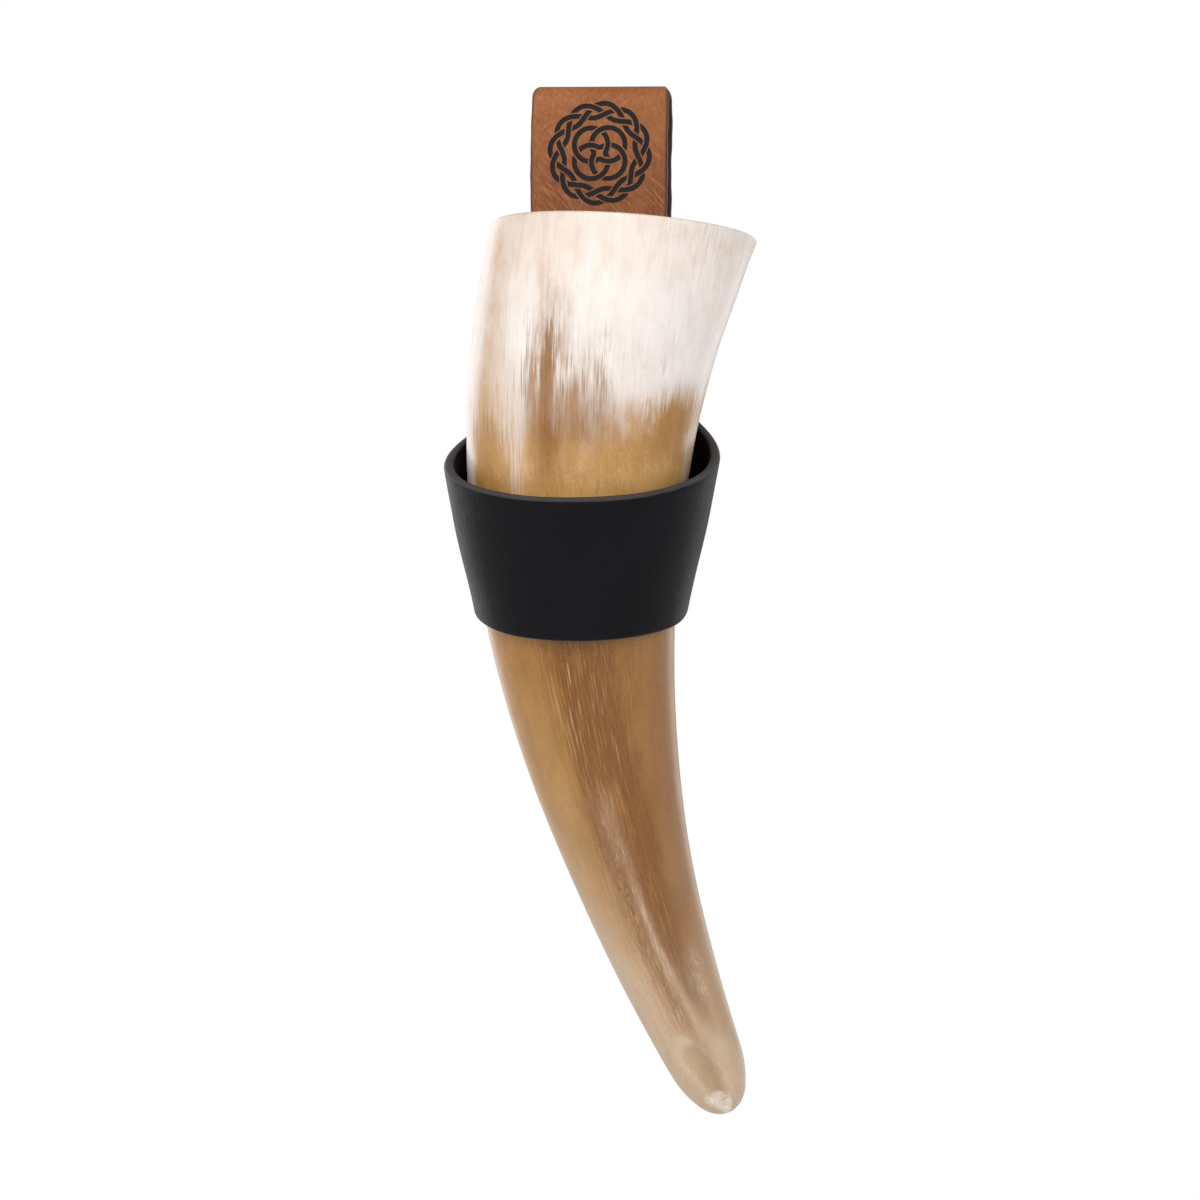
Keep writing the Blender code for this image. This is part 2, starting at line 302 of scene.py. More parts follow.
def wear(obj, *looks):
    obj.data.materials.clear()
    for look in looks:
        obj.data.materials.append(look.mat)


# ----------------------------------------------------------- camera and light
def make_camera():
    az, el, distance = math.radians(8.5), math.radians(-4.0), 2.0
    target = Vector((0.00151, -0.015, -0.14782))
    back = Vector((math.sin(az) * math.cos(el), -math.cos(az) * math.cos(el),
                   math.sin(el)))
    data = bpy.data.cameras.new("camera")
    data.sensor_width = 36.0
    data.lens = 208.74
    data.clip_start, data.clip_end = 0.05, 60.0
    cam = bpy.data.objects.new("camera", data)
    cam.location = target + back * distance
    cam.rotation_mode = "QUATERNION"
    cam.rotation_quaternion = (-back).to_track_quat("-Z", "Y")
    SCENE.collection.objects.link(cam)
    SCENE.camera = cam


def softbox(name, place, size, power, aim=(0.0, -0.03, -0.14)):
    data = bpy.data.lights.new(name, "AREA")
    data.shape = "RECTANGLE"
    data.size, data.size_y = size
    data.energy = power
    lamp = bpy.data.objects.new(name, data)
    lamp.location = place
    lamp.rotation_mode = "QUATERNION"
    lamp.rotation_quaternion = (Vector(aim) - Vector(place)).to_track_quat("-Z", "Y")
    SCENE.collection.objects.link(lamp)
    lamp.visible_camera = False
    return lamp


def make_studio():
    world = bpy.data.worlds.new("studio")
    SCENE.world = world
    world.use_nodes = True
    back = world.node_tree.nodes["Background"]
    back.inputs["Color"].default_value = (1.0, 0.995, 0.99, 1.0)
    back.inputs["Strength"].default_value = 0.44

    softbox("key_box", (-0.75, -1.9, 1.05), (1.5, 1.3), 22.6)
    softbox("fill_box", (1.05, -1.95, 0.35), (1.4, 1.5), 21.5)
    softbox("side_box", (-1.95, -0.65, 0.1), (1.3, 1.7), 6.0)
    softbox("left_panel", (-1.35, 1.45, 0.24), (1.4, 1.32), 9.6, (0.0, -0.03, 0.2))
    softbox("right_panel", (0.90, 1.82, 0.24), (0.80, 1.32), 4.4, (0.0, -0.03, 0.2))

    # plain pale floor below the hanging part
    bm = bmesh.new()
    bmesh.ops.create_circle(bm, cap_ends=True, segments=96, radius=6.0)
    mesh = bpy.data.meshes.new("floor")
    bm.to_mesh(mesh)
    bm.free()
    floor = bpy.data.objects.new("floor", mesh)
    floor.location = (0.0, 0.0, -1.0)
    SCENE.collection.objects.link(floor)
    look = Look("pale_floor")
    place = look.place()
    x, y, _ = look.split(place)
    away = look.calc("SQRT", look.add(look.times(x, x), look.times(y, y)))
    tone = look.noise(place, 3.0, 3.0)
    look.set("Base Color", look.ramp(tone, [(0.3, (0.90, 0.90, 0.90, 1)),
                                            (0.7, (0.93, 0.93, 0.93, 1))]))
    look.set("Emission Color", (1.0, 1.0, 1.0, 1.0))
    look.set("Emission Strength", look.ease(away, 1.2, 4.5, 0.0, 0.6))
    look.set("Roughness", 0.9)
    look.set("Specular IOR Level", 0.1)
    wear(floor, look)

    # white surround, which only the camera sees
    bm = bmesh.new()
    bmesh.ops.create_uvsphere(bm, u_segments=48, v_segments=24, radius=8.0)
    mesh = bpy.data.meshes.new("surround")
    bm.to_mesh(mesh)
    bm.free()
    dome = bpy.data.objects.new("surround", mesh)
    SCENE.collection.objects.link(dome)
    mat = bpy.data.materials.new("surround_white")
    mat.use_nodes = True
    tree = mat.node_tree
    tree.nodes.clear()
    glow = tree.nodes.new("ShaderNodeEmission")
    glow.inputs["Color"].default_value = (1.0, 1.0, 1.0, 1.0)
    glow.inputs["Strength"].default_value = 1.0
    out = tree.nodes.new("ShaderNodeOutputMaterial")
    tree.links.new(glow.outputs[0], out.inputs["Surface"])
    mesh.materials.append(mat)
    dome.visible_diffuse = False
    dome.visible_glossy = False
    dome.visible_transmission = False
    dome.visible_volume_scatter = False
    dome.visible_shadow = False

    SCENE.view_settings.view_transform = "Standard"
    SCENE.view_settings.look = "None"
    SCENE.view_settings.exposure = 0.0
    SCENE.view_settings.gamma = 1.0


# ----------------------------------------------------------------------- horn
U_AXIS = np.array([1.0, 0.0, 0.0])
W_AXIS = np.array([0.0, -math.sin(HORN_LEAN), math.cos(HORN_LEAN)])
N_AXIS = np.cross(U_AXIS, W_AXIS)           # towards the viewer
HORN_END = HORN_RUN + TIP_RUN


def smooth_through(values, t):
    """Smooth curve through evenly spaced values, t an array of 0..1."""
    v = np.array(values, float)
    last = len(v) - 1
    x = np.clip(t * last, 0.0, last)
    i = np.minimum(x.astype(int), last - 1)
    f = x - i
    p1, p2 = v[i], v[i + 1]
    p0 = np.where(i > 0, v[np.maximum(i - 1, 0)], 2 * p1 - p2)
    p3 = np.where(i + 2 <= last, v[np.minimum(i + 2, last)], 2 * p2 - p1)
    return 0.5 * (2 * p1 + (p2 - p0) * f
                  + (2 * p0 - 5 * p1 + 4 * p2 - p3) * f * f
                  + (3 * p1 - p0 - 3 * p2 + p3) * f ** 3)


RUNS = np.linspace(0.0, HORN_END, 4001)
HEADS = np.radians(BEND[0] + BEND[1] * (RUNS / HORN_RUN)
                   + BEND[2] * (RUNS / HORN_RUN) ** 2)
_ds = np.diff(RUNS)
LINE_U = HORN_TOP_X + np.concatenate(
    [[0.0], np.cumsum(0.5 * (np.sin(HEADS[1:]) + np.sin(HEADS[:-1])) * _ds)])
LINE_W = HORN_TOP_W - np.concatenate(
    [[0.0], np.cumsum(0.5 * (np.cos(HEADS[1:]) + np.cos(HEADS[:-1])) * _ds)])


def plain_radius(s):
    base = smooth_through(RADII, np.minimum(s / HORN_RUN, 1.0))
    start = TIP_START * HORN_RUN
    k = np.clip((s - start) / (HORN_END - start), 0.0, 1.0)
    return base * np.sqrt(np.maximum(0.0, 1.0 - k ** 2.6))


def ridge_angle(s):
    """Where the ridge of the horn's lower front runs, in degrees."""
    return 7.5 + 10.5 * step(s, 222.0, 258.0) - 4.5 * step(-s, -206.0, -186.0)


def nail_middle(s):
    return -9.0 + 1.55 * (np.clip(s, 255.0, 276.0) - 260.0)


def nail_half(s):
    return 18.0 + 0.5 * (np.clip(s, 255.0, 276.0) - 260.0)


def nail_top(phi):
    return 257.3 + 0.008 * turn(phi + 10.0) ** 2


def nail_mask(s, phi):
    """Scraped flat at the front of the tip, with a round upper end."""
    across = np.abs(turn(phi - nail_middle(s))) / nail_half(s)
    return step(s, nail_top(phi) - 0.4, nail_top(phi) + 0.8) \
        * step(-across, -1.08, -0.72) * step(-s, -276.5, -270.0)


def carving(s, phi):
    """Small departures of the outer surface from round, in mm."""
    a = np.radians(phi)
    d = 0.05 * np.sin(2 * a + 0.031 * s) + 0.04 * np.sin(5 * a - 0.017 * s + 1.3)
    d += 0.03 * np.sin(11 * a + 0.012 * s + 0.4)
    d += 0.04 * np.sin(0.21 * s + 1.5 * np.sin(a)) * step(-s, -92.0, -60.0)
    # ridge on the lower front, and the flatter flank on its right
    off = turn(phi - ridge_angle(s))
    run = step(s, 190.0, 235.0) * step(-s, -268.0, -258.0)
    d += run * 0.30 * hill(off + 1.5, 9.0)
    d -= run * 0.20 * hill(turn(off - 22.0), 12.0)
    d -= 0.30 * nail_mask(s, phi)
    # mouth drawn in a little on the side it leans to
    d -= 1.0 * step(-s, -34.0, -4.0) * np.maximum(0.0, np.sin(a)) ** 2
    return d


def outer_radius(s, phi):
    r = plain_radius(s)
    fade = np.clip(r / 6.0, 0.0, 1.0)
    return r + carving(s, phi) * fade


def inner_radius(s, phi):
    t = s / HORN_RUN
    wall = WALL + WALL_GROWTH * (t / HOLLOW_END) ** 2
    r = smooth_through(RADII, np.minimum(t, 1.0)) - wall
    k = np.clip((t - HOLLOW_ROUND) / (HOLLOW_END - HOLLOW_ROUND), 0.0, 1.0)
    r = r * np.sqrt(np.maximum(0.0, 1.0 - k * k))
    a = np.radians(phi)
    r -= 1.0 * step(-s, -34.0, -4.0) * np.maximum(0.0, np.sin(a)) ** 2
    wave = 0.10 * np.sin(3 * a + 0.05 * s) + 0.07 * np.sin(7 * a - 0.04 * s + 2.0)
    return r + wave * np.clip(r / 8.0, 0.0, 1.0) * step(s, 20.0, 50.0)


def horn_points(s, phi, radius):
    """Points of the horn at run s and angle phi, in mm, and their u, w, n."""
    u0, w0 = np.interp(s, RUNS, LINE_U), np.interp(s, RUNS, LINE_W)
    h = np.interp(s, RUNS, HEADS)
    a = np.radians(phi)
    side, front = radius * np.sin(a), radius * np.cos(a)
    u = u0 + side * np.cos(h)
    w = w0 + side * np.sin(h)
    p = (np.array([0.0, HORN_PLANE_Y, 0.0]) + u[..., None] * U_AXIS
         + w[..., None] * W_AXIS + front[..., None] * N_AXIS)
    return p, u, w, front


def mouth_run(phi, radius_of):
    """Run at which each line of the surface meets the cut of the mouth."""
    s = np.linspace(0.0, 70.0, 1401)
    grid_s, grid_p = np.meshgrid(s, phi, indexing="ij")
    _, u, w, n = horn_points(grid_s, grid_p, radius_of(grid_s, grid_p))
    above = w - (MOUTH_W + math.tan(MOUTH_TILT_X) * u + math.tan(MOUTH_TILT_N) * n)
    out = np.zeros(len(phi))
    for j in range(len(phi)):
        out[j] = np.interp(0.0, -above[:, j], s)
    return out


def grain_angle(s, phi):
    """Angle round the horn, counted along the grain: near the mouth the grain
    stands more upright than the horn itself."""
    return turn(phi + 26.0 * np.clip(1.0 - s / 100.0, 0.0, 1.0) ** 1.6)


def white_edge(q):
    """Run at which the milky layer has thinned to half, along the grain."""
    # the layer runs lower at the left flank (about -106 to -63): partly a pale side of the horn,
    # partly a painted reflection along that edge
    return around(q, (
        (-172, 68), (-156, 76), (-138, 64), (-122, 74), (-106, 82), (-90, 104),
        (-74, 108), (-63, 92), (-55, 79), (-47, 74), (-39, 75), (-31, 75),
        (-22, 80), (-14, 78), (-4, 77), (3, 76), (10, 74), (17, 75), (24, 72),
        (31, 74), (39, 72), (46, 68), (54, 65), (64, 62), (76, 63), (88, 65),
        (98, 64), (114, 72), (132, 65), (152, 74)))


def make_horn():
    count = 256
    phi = np.arange(count) * 360.0 / count - 180.0
    lip = 1.15
    s_out = mouth_run(phi, outer_radius)
    s_in = mouth_run(phi, inner_radius)

    rows, runs, kinds = [], [], []

    def row(s, radius, kind):
        p, _, _, _ = horn_points(s, phi, radius)
        rows.append(p)
        runs.append(s)
        kinds.append(kind)

    # inside, from its deep end up to the lip
    end = HOLLOW_END * HORN_RUN
    depth = 64
    for i in range(1, depth + 1):
        v = i / depth
        v = 0.5 * (v + v * v)
        s = end * 0.9995 + (s_in + lip - end * 0.9995) * v
        row(s, inner_radius(s, phi), 1.0)
    # rounded lip between the inner and the outer wall
    p_in, _, _, _ = horn_points(s_in, phi, inner_radius(s_in, phi))
    p_out, _, _, _ = horn_points(s_out, phi, outer_radius(s_out, phi))
    q_in, _, _, _ = horn_points(s_in + lip, phi, inner_radius(s_in + lip, phi))
    q_out, _, _, _ = horn_points(s_out + lip, phi, outer_radius(s_out + lip, phi))
    over = p_out - p_in
    over /= np.linalg.norm(over, axis=1, keepdims=True)
    for i in range(1, 7):
        a = 0.5 * math.pi * i / 6.0
        c, s_ = 1.0 - math.cos(a), math.sin(a)
        rows.append(q_in + (p_in - q_in) * s_ + over * lip * c)
        runs.append(s_in + lip * (1.0 - s_))
        kinds.append(1.0 - 0.5 * i / 6.0)
    for i in range(6, 0, -1):
        a = 0.5 * math.pi * i / 6.0
        c, s_ = 1.0 - math.cos(a), math.sin(a)
        rows.append(q_out + (p_out - q_out) * s_ - over * lip * c)
        runs.append(s_out + lip * (1.0 - s_))
        kinds.append(0.5 * (i - 1) / 6.0)
    # outside, down to the tip
    length = 250
    for i in range(length):
        v = i / (length - 1.0)
        v = v + 0.10 * math.sin(math.pi * v) * v          # closer rows at the tip
        v = 1.0 - (1.0 - v) ** 1.25 if v > 0 else 0.0
        s = (s_out + lip) + (HORN_END * 0.9998 - s_out - lip) * min(v, 1.0)
        row(s, outer_radius(s, phi), 0.0)

    grid = np.array(rows)
    n_rows = len(rows)
    verts = list(grid.reshape(-1, 3))
    faces = []
    for i in range(n_rows - 1):
        for j in range(count):
            k = (j + 1) % count
            faces.append((i * count + j, i * count + k,
                          (i + 1) * count + k, (i + 1) * count + j))
    deep = len(verts)
    verts.append(grid[0].mean(axis=0))
    point = len(verts)
    verts.append(grid[-1].mean(axis=0))
    for j in range(count):
        k = (j + 1) % count
        faces.append((deep, k, j))
        faces.append((point, (n_rows - 1) * count + j, (n_rows - 1) * count + k))

    horn = new_object("horn_shell", verts, faces, 60.0)
    outward(horn)
    s = np.concatenate([np.array(runs).ravel(), [end, HORN_END]])
    p = np.concatenate([np.tile(phi, n_rows), [0.0, 0.0]])
    inside = np.concatenate([np.repeat(np.array(kinds), count), [1.0, 0.0]])
    q = grain_angle(s, p)
    a = np.radians(q)
    wide = 1.0 - 0.45 * step(s, 98.0, 138.0)
    put(horn, "ring", np.stack([np.cos(a) * wide, np.sin(a) * wide, s / 100.0], axis=1))
    r = np.concatenate([np.linalg.norm(grid - grid.mean(axis=1, keepdims=True),
                                       axis=2).ravel(), [0.0, 0.0]])
    put(horn, "skin", np.stack([np.cos(a) * r / 36.0, np.sin(a) * r / 36.0, s / 100.0],
                               axis=1))
    put(horn, "inside", inside)
    put(horn, "depth_in", np.clip(s / end, 0.0, 1.0))

    def along(*anchors):
        return np.interp(s, [x for x, _ in anchors], [v for _, v in anchors])

    # milky layer: how far above its thin edge, in cm
    milky = (white_edge(q) - s) / 10.0 * (1.0 + 1.1 * hill(turn(q - 65.0), 24.0))
    strip = 0.95 * hill(turn(q + 24.0), 6.4) * step(s, 52.0, 64.0) * step(-s, -110.0, -98.0)
    reach = along((60, 0.9), (66, 0.65), (78, 0.2), (89, -0.15), (95, -0.38), (110, -0.9))
    milky += (reach - milky) * strip
    milky += 1.0 * hill(turn(q - 60.0), 13.0) * hill(s - 77.5, 3.6)
    milky += 0.35 * hill(turn(q - 14.0), 8.0) * hill(s - 80.0, 4.0)
    milky -= 0.5 * hill(turn(q - 8.0), 17.0) * step(s, 54.0, 66.0) * step(-s, -88.0, -78.0)
    # whitened where the flanks go into the collar, further at the left and thinly at the right:
    # painted light on the flanks the collar's walls shade
    flank = step(s, 80.0, 89.0) * step(-q, 53.0, 62.0) * step(q, -100.0, -88.0)
    milky += (1.0 - milky) * 0.9 * flank * step(-s, -114.0, -104.0)
    flank = step(s, 64.0, 80.0) * hill(turn(q - 86.0), 17.0) * step(-s, -116.0, -104.0)
    milky += np.maximum(-0.25 - milky, 0.0) * np.minimum(1.3 * flank, 1.0)
    calm = step(s, 54.0, 60.0) * hill(turn(q - 70.0), 18.0) + strip
    put(horn, "calm", np.clip(calm, 0.0, 1.0))
    put(horn, "milky", np.clip(milky, -4.0, 4.0))

    # gaps in it: angle, half width, run where it opens and is open, run where
    # it starts to close and is closed, how clear it is
    main = -7.4 + 3.2 * np.clip((73.0 - s) / 27.0, 0.0, 1.0)
    gap = 0.0 * s
    for at, half, s0, s1, s2, s3, clear in (
            (main, np.where(turn(q - main) < 0.0, 5.8, 4.6 + 0.8 * step(s, 50.0, 66.0)),
             36.0, 62.0, 84.0, 102.0, 1.03),
            (-13.4, 6.0, 36.0, 69.0, 82.0, 96.0, 0.80), (0.0, 6.0, 48.0, 72.0, 80.0, 92.0, 0.66),
            (6.4, 5.4, 50.0, 69.0, 80.0, 90.0, 0.80), (13.0, 6.5, 45.0, 68.0, 80.0, 90.0, 0.58),
            (19.5, 6.0, 46.0, 68.0, 82.0, 92.0, 0.64), (27.5, 6.0, 60.0, 76.0, 82.0, 92.0, 0.60),
            (21.0, 4.5, 38.0, 47.0, 54.0, 62.0, 0.22), (36.5, 5.5, 60.0, 72.0, 78.0, 86.0, 0.58),
            (51.6, 2.6, 47.0, 52.0, 56.0, 61.0, 0.28), (57.0, 3.0, 36.0, 44.0, 48.0, 56.0, 0.22),
            (160.0, 5.5, 40.0, 56.0, 86.0, 98.0, 1.0), (-118.0, 4.6, 46.0, 60.0, 78.0, 90.0, 0.9),
            (108.0, 4.0, 50.0, 62.0, 82.0, 94.0, 0.8), (-154.0, 4.0, 52.0, 64.0, 80.0, 92.0, 0.8)):
        part = clear * hill(turn(q - at), half) * step(s, s0, s1) * step(-s, -s3, -s2)
        gap = np.maximum(gap, part)
    put(horn, "gap", np.clip(gap, 0.0, 1.0))

    # how much of the layer's strength is missing: cream sides, beige threads
    cream = 0.36 * hill(turn(q + 43.0 + 0.12 * np.maximum(s - 50.0, 0.0)), 10.5) \
        * step(s, 26.0, 36.0)
    cream += 0.16 * hill(turn(q + 47.0), 9.0) * step(s, 55.0, 74.0)
    cream += 0.07 * hill(turn(q + 40.0), 9.0) * step(s, 36.0, 52.0)
    cream += 0.14 * hill(turn(q + 7.5), 6.8) * step(s, 27.0, 41.0) * step(-s, -64.0, -52.0)
    cream += 0.05 * hill(turn(q + 66.0), 14.0)
    cream += 0.34 * hill(turn(q - 140.0), 22.0) + 0.3 * hill(turn(q + 135.0), 18.0)
    cream += 0.17 * hill(turn(q + 22.0), 18.0) * step(-s, -48.0, -26.0)
    cream += 0.12 * step(-s, -44.0, -16.0) * (1.0 - hill(turn(q - 76.0), 34.0))
    put(horn, "cream", np.clip(cream, 0.0, 0.6))
    thread = hill(turn(q - 72.0), 24.0) * step(-s, -56.0, -18.0)
    thread += 0.7 * hill(turn(q + 140.0), 30.0) * step(-s, -50.0, -20.0)
    put(horn, "thread", np.clip(thread, 0.0, 1.0))
    lilac = hill(turn(q - 58.0), 24.0) * step(s, 18.0, 40.0)
    lilac += 0.8 * hill(turn(q - 8.0), 20.0) * step(s, 40.0, 54.0)
    lilac += 0.5 * hill(turn(q + 140.0), 40.0)
    put(horn, "lilac", np.clip(lilac, 0.0, 1.0))
    haze = 0.55 * hill(turn(q + 7.0), 8.0) * step(s, 26.0, 42.0) * step(-s, -70.0, -54.0)
    haze += 0.22 * hill(turn(q - 6.0), 14.0) * step(s, 46.0, 58.0) * step(-s, -80.0, -68.0)
    haze += 0.26 * hill(turn(q - 29.0), 18.0) * step(s, 40.0, 54.0) * step(-s, -78.0, -66.0)
    haze += 0.32 * hill(turn(q + 28.0), 9.0) * step(s, 54.0, 64.0) * step(-s, -86.0, -76.0)
    haze += 0.50 * hill(turn(q - 1.5), 7.5) * step(s, 36.0, 44.0) * step(-s, -64.0, -56.0)
    haze += 0.42 * hill(turn(q - 68.0), 30.0) * step(-s, -19.0, -9.0)
    haze += 0.26 * hill(turn(q + 38.0), 14.0) * step(s, 18.0, 26.0) * step(-s, -42.0, -34.0)
    haze += 0.07 * step(-s, -40.0, -20.0)
    haze += (0.36 + 0.14 * step(s, 64.0, 76.0)) * step(-q, 53.0, 62.0) * step(q, -104.0, -86.0) \
        * step(s, 30.0, 52.0) * step(-s, -92.0, -82.0)
    haze += 0.34 * hill(turn(q + 35.0), 8.0) * step(s, 42.0, 52.0) * step(-s, -70.0, -60.0)
    put(horn, "haze", np.clip(haze, 0.0, 1.0))
    # greyer brown where the layer thins out at the front
    taupe = around(q, ((-170, 0.0), (-30, 0.0), (-23, 0.8), (-18, 1.0), (-15, 0.9), (-12, 0.35),
                       (-7, 0.05), (-2, 0.2), (6, 0.45), (13, 0.6), (19, 0.7), (26, 0.75),
                       (36, 0.3), (46, 0.0), (170, 0.0)))
    put(horn, "taupe", taupe * step(s, 40.0, 52.0) * step(-s, -86.0, -66.0))

    # tone of the body: 0 light, 1 dark
    below = step(s, 104.0, 142.0)
    low = step(s, 205.0, 240.0)
    band = along((140, 15), (165, 16), (186, 26), (201, 25), (218, 20), (225, 24),
                 (233, 28), (242, 30), (251, 36))
    width = along((140, 25), (186, 18), (205, 18), (218, 16), (233, 11), (251, 9))
    depth = along((104, 0.0), (142, 0.56), (186, 0.64), (218, 0.86), (233, 0.64),
                  (251, 0.40), (260, 0.0))
    # the lighter band where the horn goes into the collar, strongest at the right, is painted light
    # that lifts the collar's shade there
    tone = 0.24 - 0.15 * step(s, 78.0, 92.0) * step(-s, -114.0, -100.0) \
        * (1.0 + 0.9 * hill(turn(q - 66.0), 30.0))
    tone = tone + depth * hill(turn(p - band), width)
    tone += 0.30 * hill(turn(p + 6.0), 15.0) * below * (1.0 - 0.55 * low)
    tone += 0.46 * hill(turn(p - 64.0), 28.0) * below * (1.0 - 0.85 * low) \
        * (1.0 - 0.5 * step(-s, -142.0, -126.0))
    tone += 0.52 * hill(turn(q + 7.0), 8.5) * step(s, 36.0, 48.0) * step(-s, -102.0, -76.0)
    tone += 0.40 * hill(turn(q - 12.0), 12.0) * step(s, 40.0, 54.0) * step(-s, -86.0, -74.0)
    tone += 0.12 * hill(turn(q + 46.0), 14.0) * step(s, 72.0, 82.0) * step(-s, -112.0, -100.0)
    tone += 0.20 * hill(turn(q - 66.0), 20.0) * step(s, 54.0, 60.0) * step(-s, -92.0, -76.0)
    tone += 0.40 * hill(turn(p - ridge_angle(s) + 6.0), 13.0) * step(s, 176.0, 225.0)
    tone += 0.07 * below * (1.0 - low)
    tone += 0.26 * hill(turn(p + 9.0), 12.0) * step(s, 160.0, 180.0) * step(-s, -210.0, -190.0)
    tone += 0.44 * hill(turn(p - 46.0), 17.0) * step(s, 205.0, 222.0) * step(-s, -264.0, -236.0)
    tone += 0.22 * hill(turn(p - ridge_angle(s) - 9.0), 6.0) * step(s, 186.0, 204.0) \
        * step(-s, -258.0, -240.0)
    tone += 0.12 * step(s, 224.0, 236.0) * step(-s, -258.0, -248.0) * hill(turn(p - 2.0), 16.0)
    tone += 0.10 * hill(turn(p + 40.0), 18.0) * step(s, 122.0, 132.0) * step(-s, -154.0, -144.0)
    tone += 0.07 * hill(turn(p - 12.0), 16.0) * step(s, 126.0, 140.0) * step(-s, -182.0, -168.0)
    tone += 0.10 * hill(turn(p + 52.0), 30.0) * step(s, 118.0, 138.0) * step(-s, -200.0, -165.0)
    tone += 0.07 * hill(turn(p - 6.0), 22.0) * step(s, 118.0, 138.0) * step(-s, -250.0, -235.0)
    tone += 0.10 * hill(turn(p + 14.0), 36.0) * step(s, 228.0, 240.0)
    tone += 0.15 * hill(turn(p + 24.0), 15.0) * step(s, 180.0, 198.0) * step(-s, -238.0, -224.0)
    tone += 0.14 * hill(turn(p + 27.0), 12.0) * step(s, 134.0, 146.0) * step(-s, -176.0, -160.0)
    far = step(np.abs(turn(p - 5.0)), 80.0, 115.0)
    tone += far * (0.22 + 0.18 * np.sin(np.radians(3 * p + 40.0))
                   + 0.12 * np.sin(np.radians(5 * p) + 0.02 * s))
    put(horn, "tone", np.clip(tone, 0.0, 1.0))
    ash = step(s, 160.0, 246.0) * (1.0 - 0.6 * hill(turn(p - 24.0), 16.0) * step(-s, -250.0, -226.0))
    ash -= 0.30 * hill(turn(p - ridge_angle(s) + 9.0), 13.0) * step(s, 200.0, 226.0) \
        * step(-s, -258.0, -244.0)
    ash -= 0.24 * hill(turn(p - 30.0), 34.0) * step(s, 172.0, 196.0) * step(-s, -244.0, -226.0)
    ash -= 0.14 * hill(turn(p + 24.0), 16.0) * step(s, 180.0, 200.0) * step(-s, -238.0, -224.0)
    ash += 0.3 * nail_mask(s, p)
    put(horn, "ash", np.clip(ash, 0.0, 1.2))
    olive = hill(turn(p + 38.0), 20.0) * step(s, 142.0, 162.0) * step(-s, -222.0, -190.0)
    put(horn, "olive", np.clip(olive, 0.0, 1.0))
    rose = hill(turn(p - 64.0), 26.0) * below
    put(horn, "rose", np.clip(rose, 0.0, 1.0))
    # where fine hairlines show
    hairs = 0.03 + 0.95 * hill(turn(p + 4.0), 18.0) * step(s, 128.0, 142.0) \
        * step(-s, -262.0, -246.0)
    hairs += far * (0.24 + 0.20 * np.sin(np.radians(4 * p + 60.0)))
    hairs += 0.45 * hill(turn(p - 24.0), 16.0) * step(s, 126.0, 142.0) * step(-s, -262.0, -250.0)
    put(horn, "hairs", np.clip(hairs, 0.0, 1.0))
    dashes = hill(turn(p - ridge_angle(s) + 9.0), 11.0) * step(s, 178.0, 200.0) \
        * step(-s, -259.0, -249.0)
    put(horn, "dashes", np.clip(dashes, 0.0, 1.0))

    # pale marks of the lower part: ridge, haze beside it, border of the scraped
    # flat, end of the tip
    off = turn(p - ridge_angle(s))
    crest = along((178, 8.0), (196, 7.0), (208, 4.0), (222, 5.0), (236, 5.5), (246, 4.0), (258, 2.8))
    ridge = along((178, 0.0), (188, 0.42), (204, 0.58), (222, 0.95), (250, 0.90), (262, 0.0)) \
        * np.where(off < 0.0, hill(off, 1.3 * crest), hill(off, 0.8 * crest))
    put(horn, "ridge", np.clip(ridge, 0.0, 1.0))
    pale = 0.07 * hill(off + 1.0, 4.2) * step(s, 212.0, 232.0) * step(-s, -262.0, -256.0)
    bloom = hill(turn(p - 45.0), 12.0) * step(s, 226.0, 242.0) * step(-s, -258.0, -244.0)
    bloom += 0.7 * hill(turn(p - 30.0), 14.0) * step(s, 250.0, 258.0) * step(-s, -268.0, -262.0)
    put(horn, "bloom", np.clip(bloom, 0.0, 1.0))
    top = nail_top(p)
    across = turn(p - nail_middle(s)) / nail_half(s)
    pale += 0.20 * hill(s - (top - 1.4), 2.0) * step(-np.abs(across), -1.5, -0.7)
    pale += 0.14 * hill(across + 1.1, 0.22) * step(s, 259.0, 264.0) * step(-s, -275.0, -271.0)
    pale += 0.28 * hill(turn(p - 66.0), 22.0) * step(s, 254.0, 268.0)
    put(horn, "pale", np.clip(pale, 0.0, 1.0))
    put(horn, "end_spot", 0.72 * step(s, 270.8, 275.2) * hill(turn(p + 3.0), 30.0))

    wear(horn, horn_look())
    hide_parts("horn")
    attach(horn, "horn")
    return horn


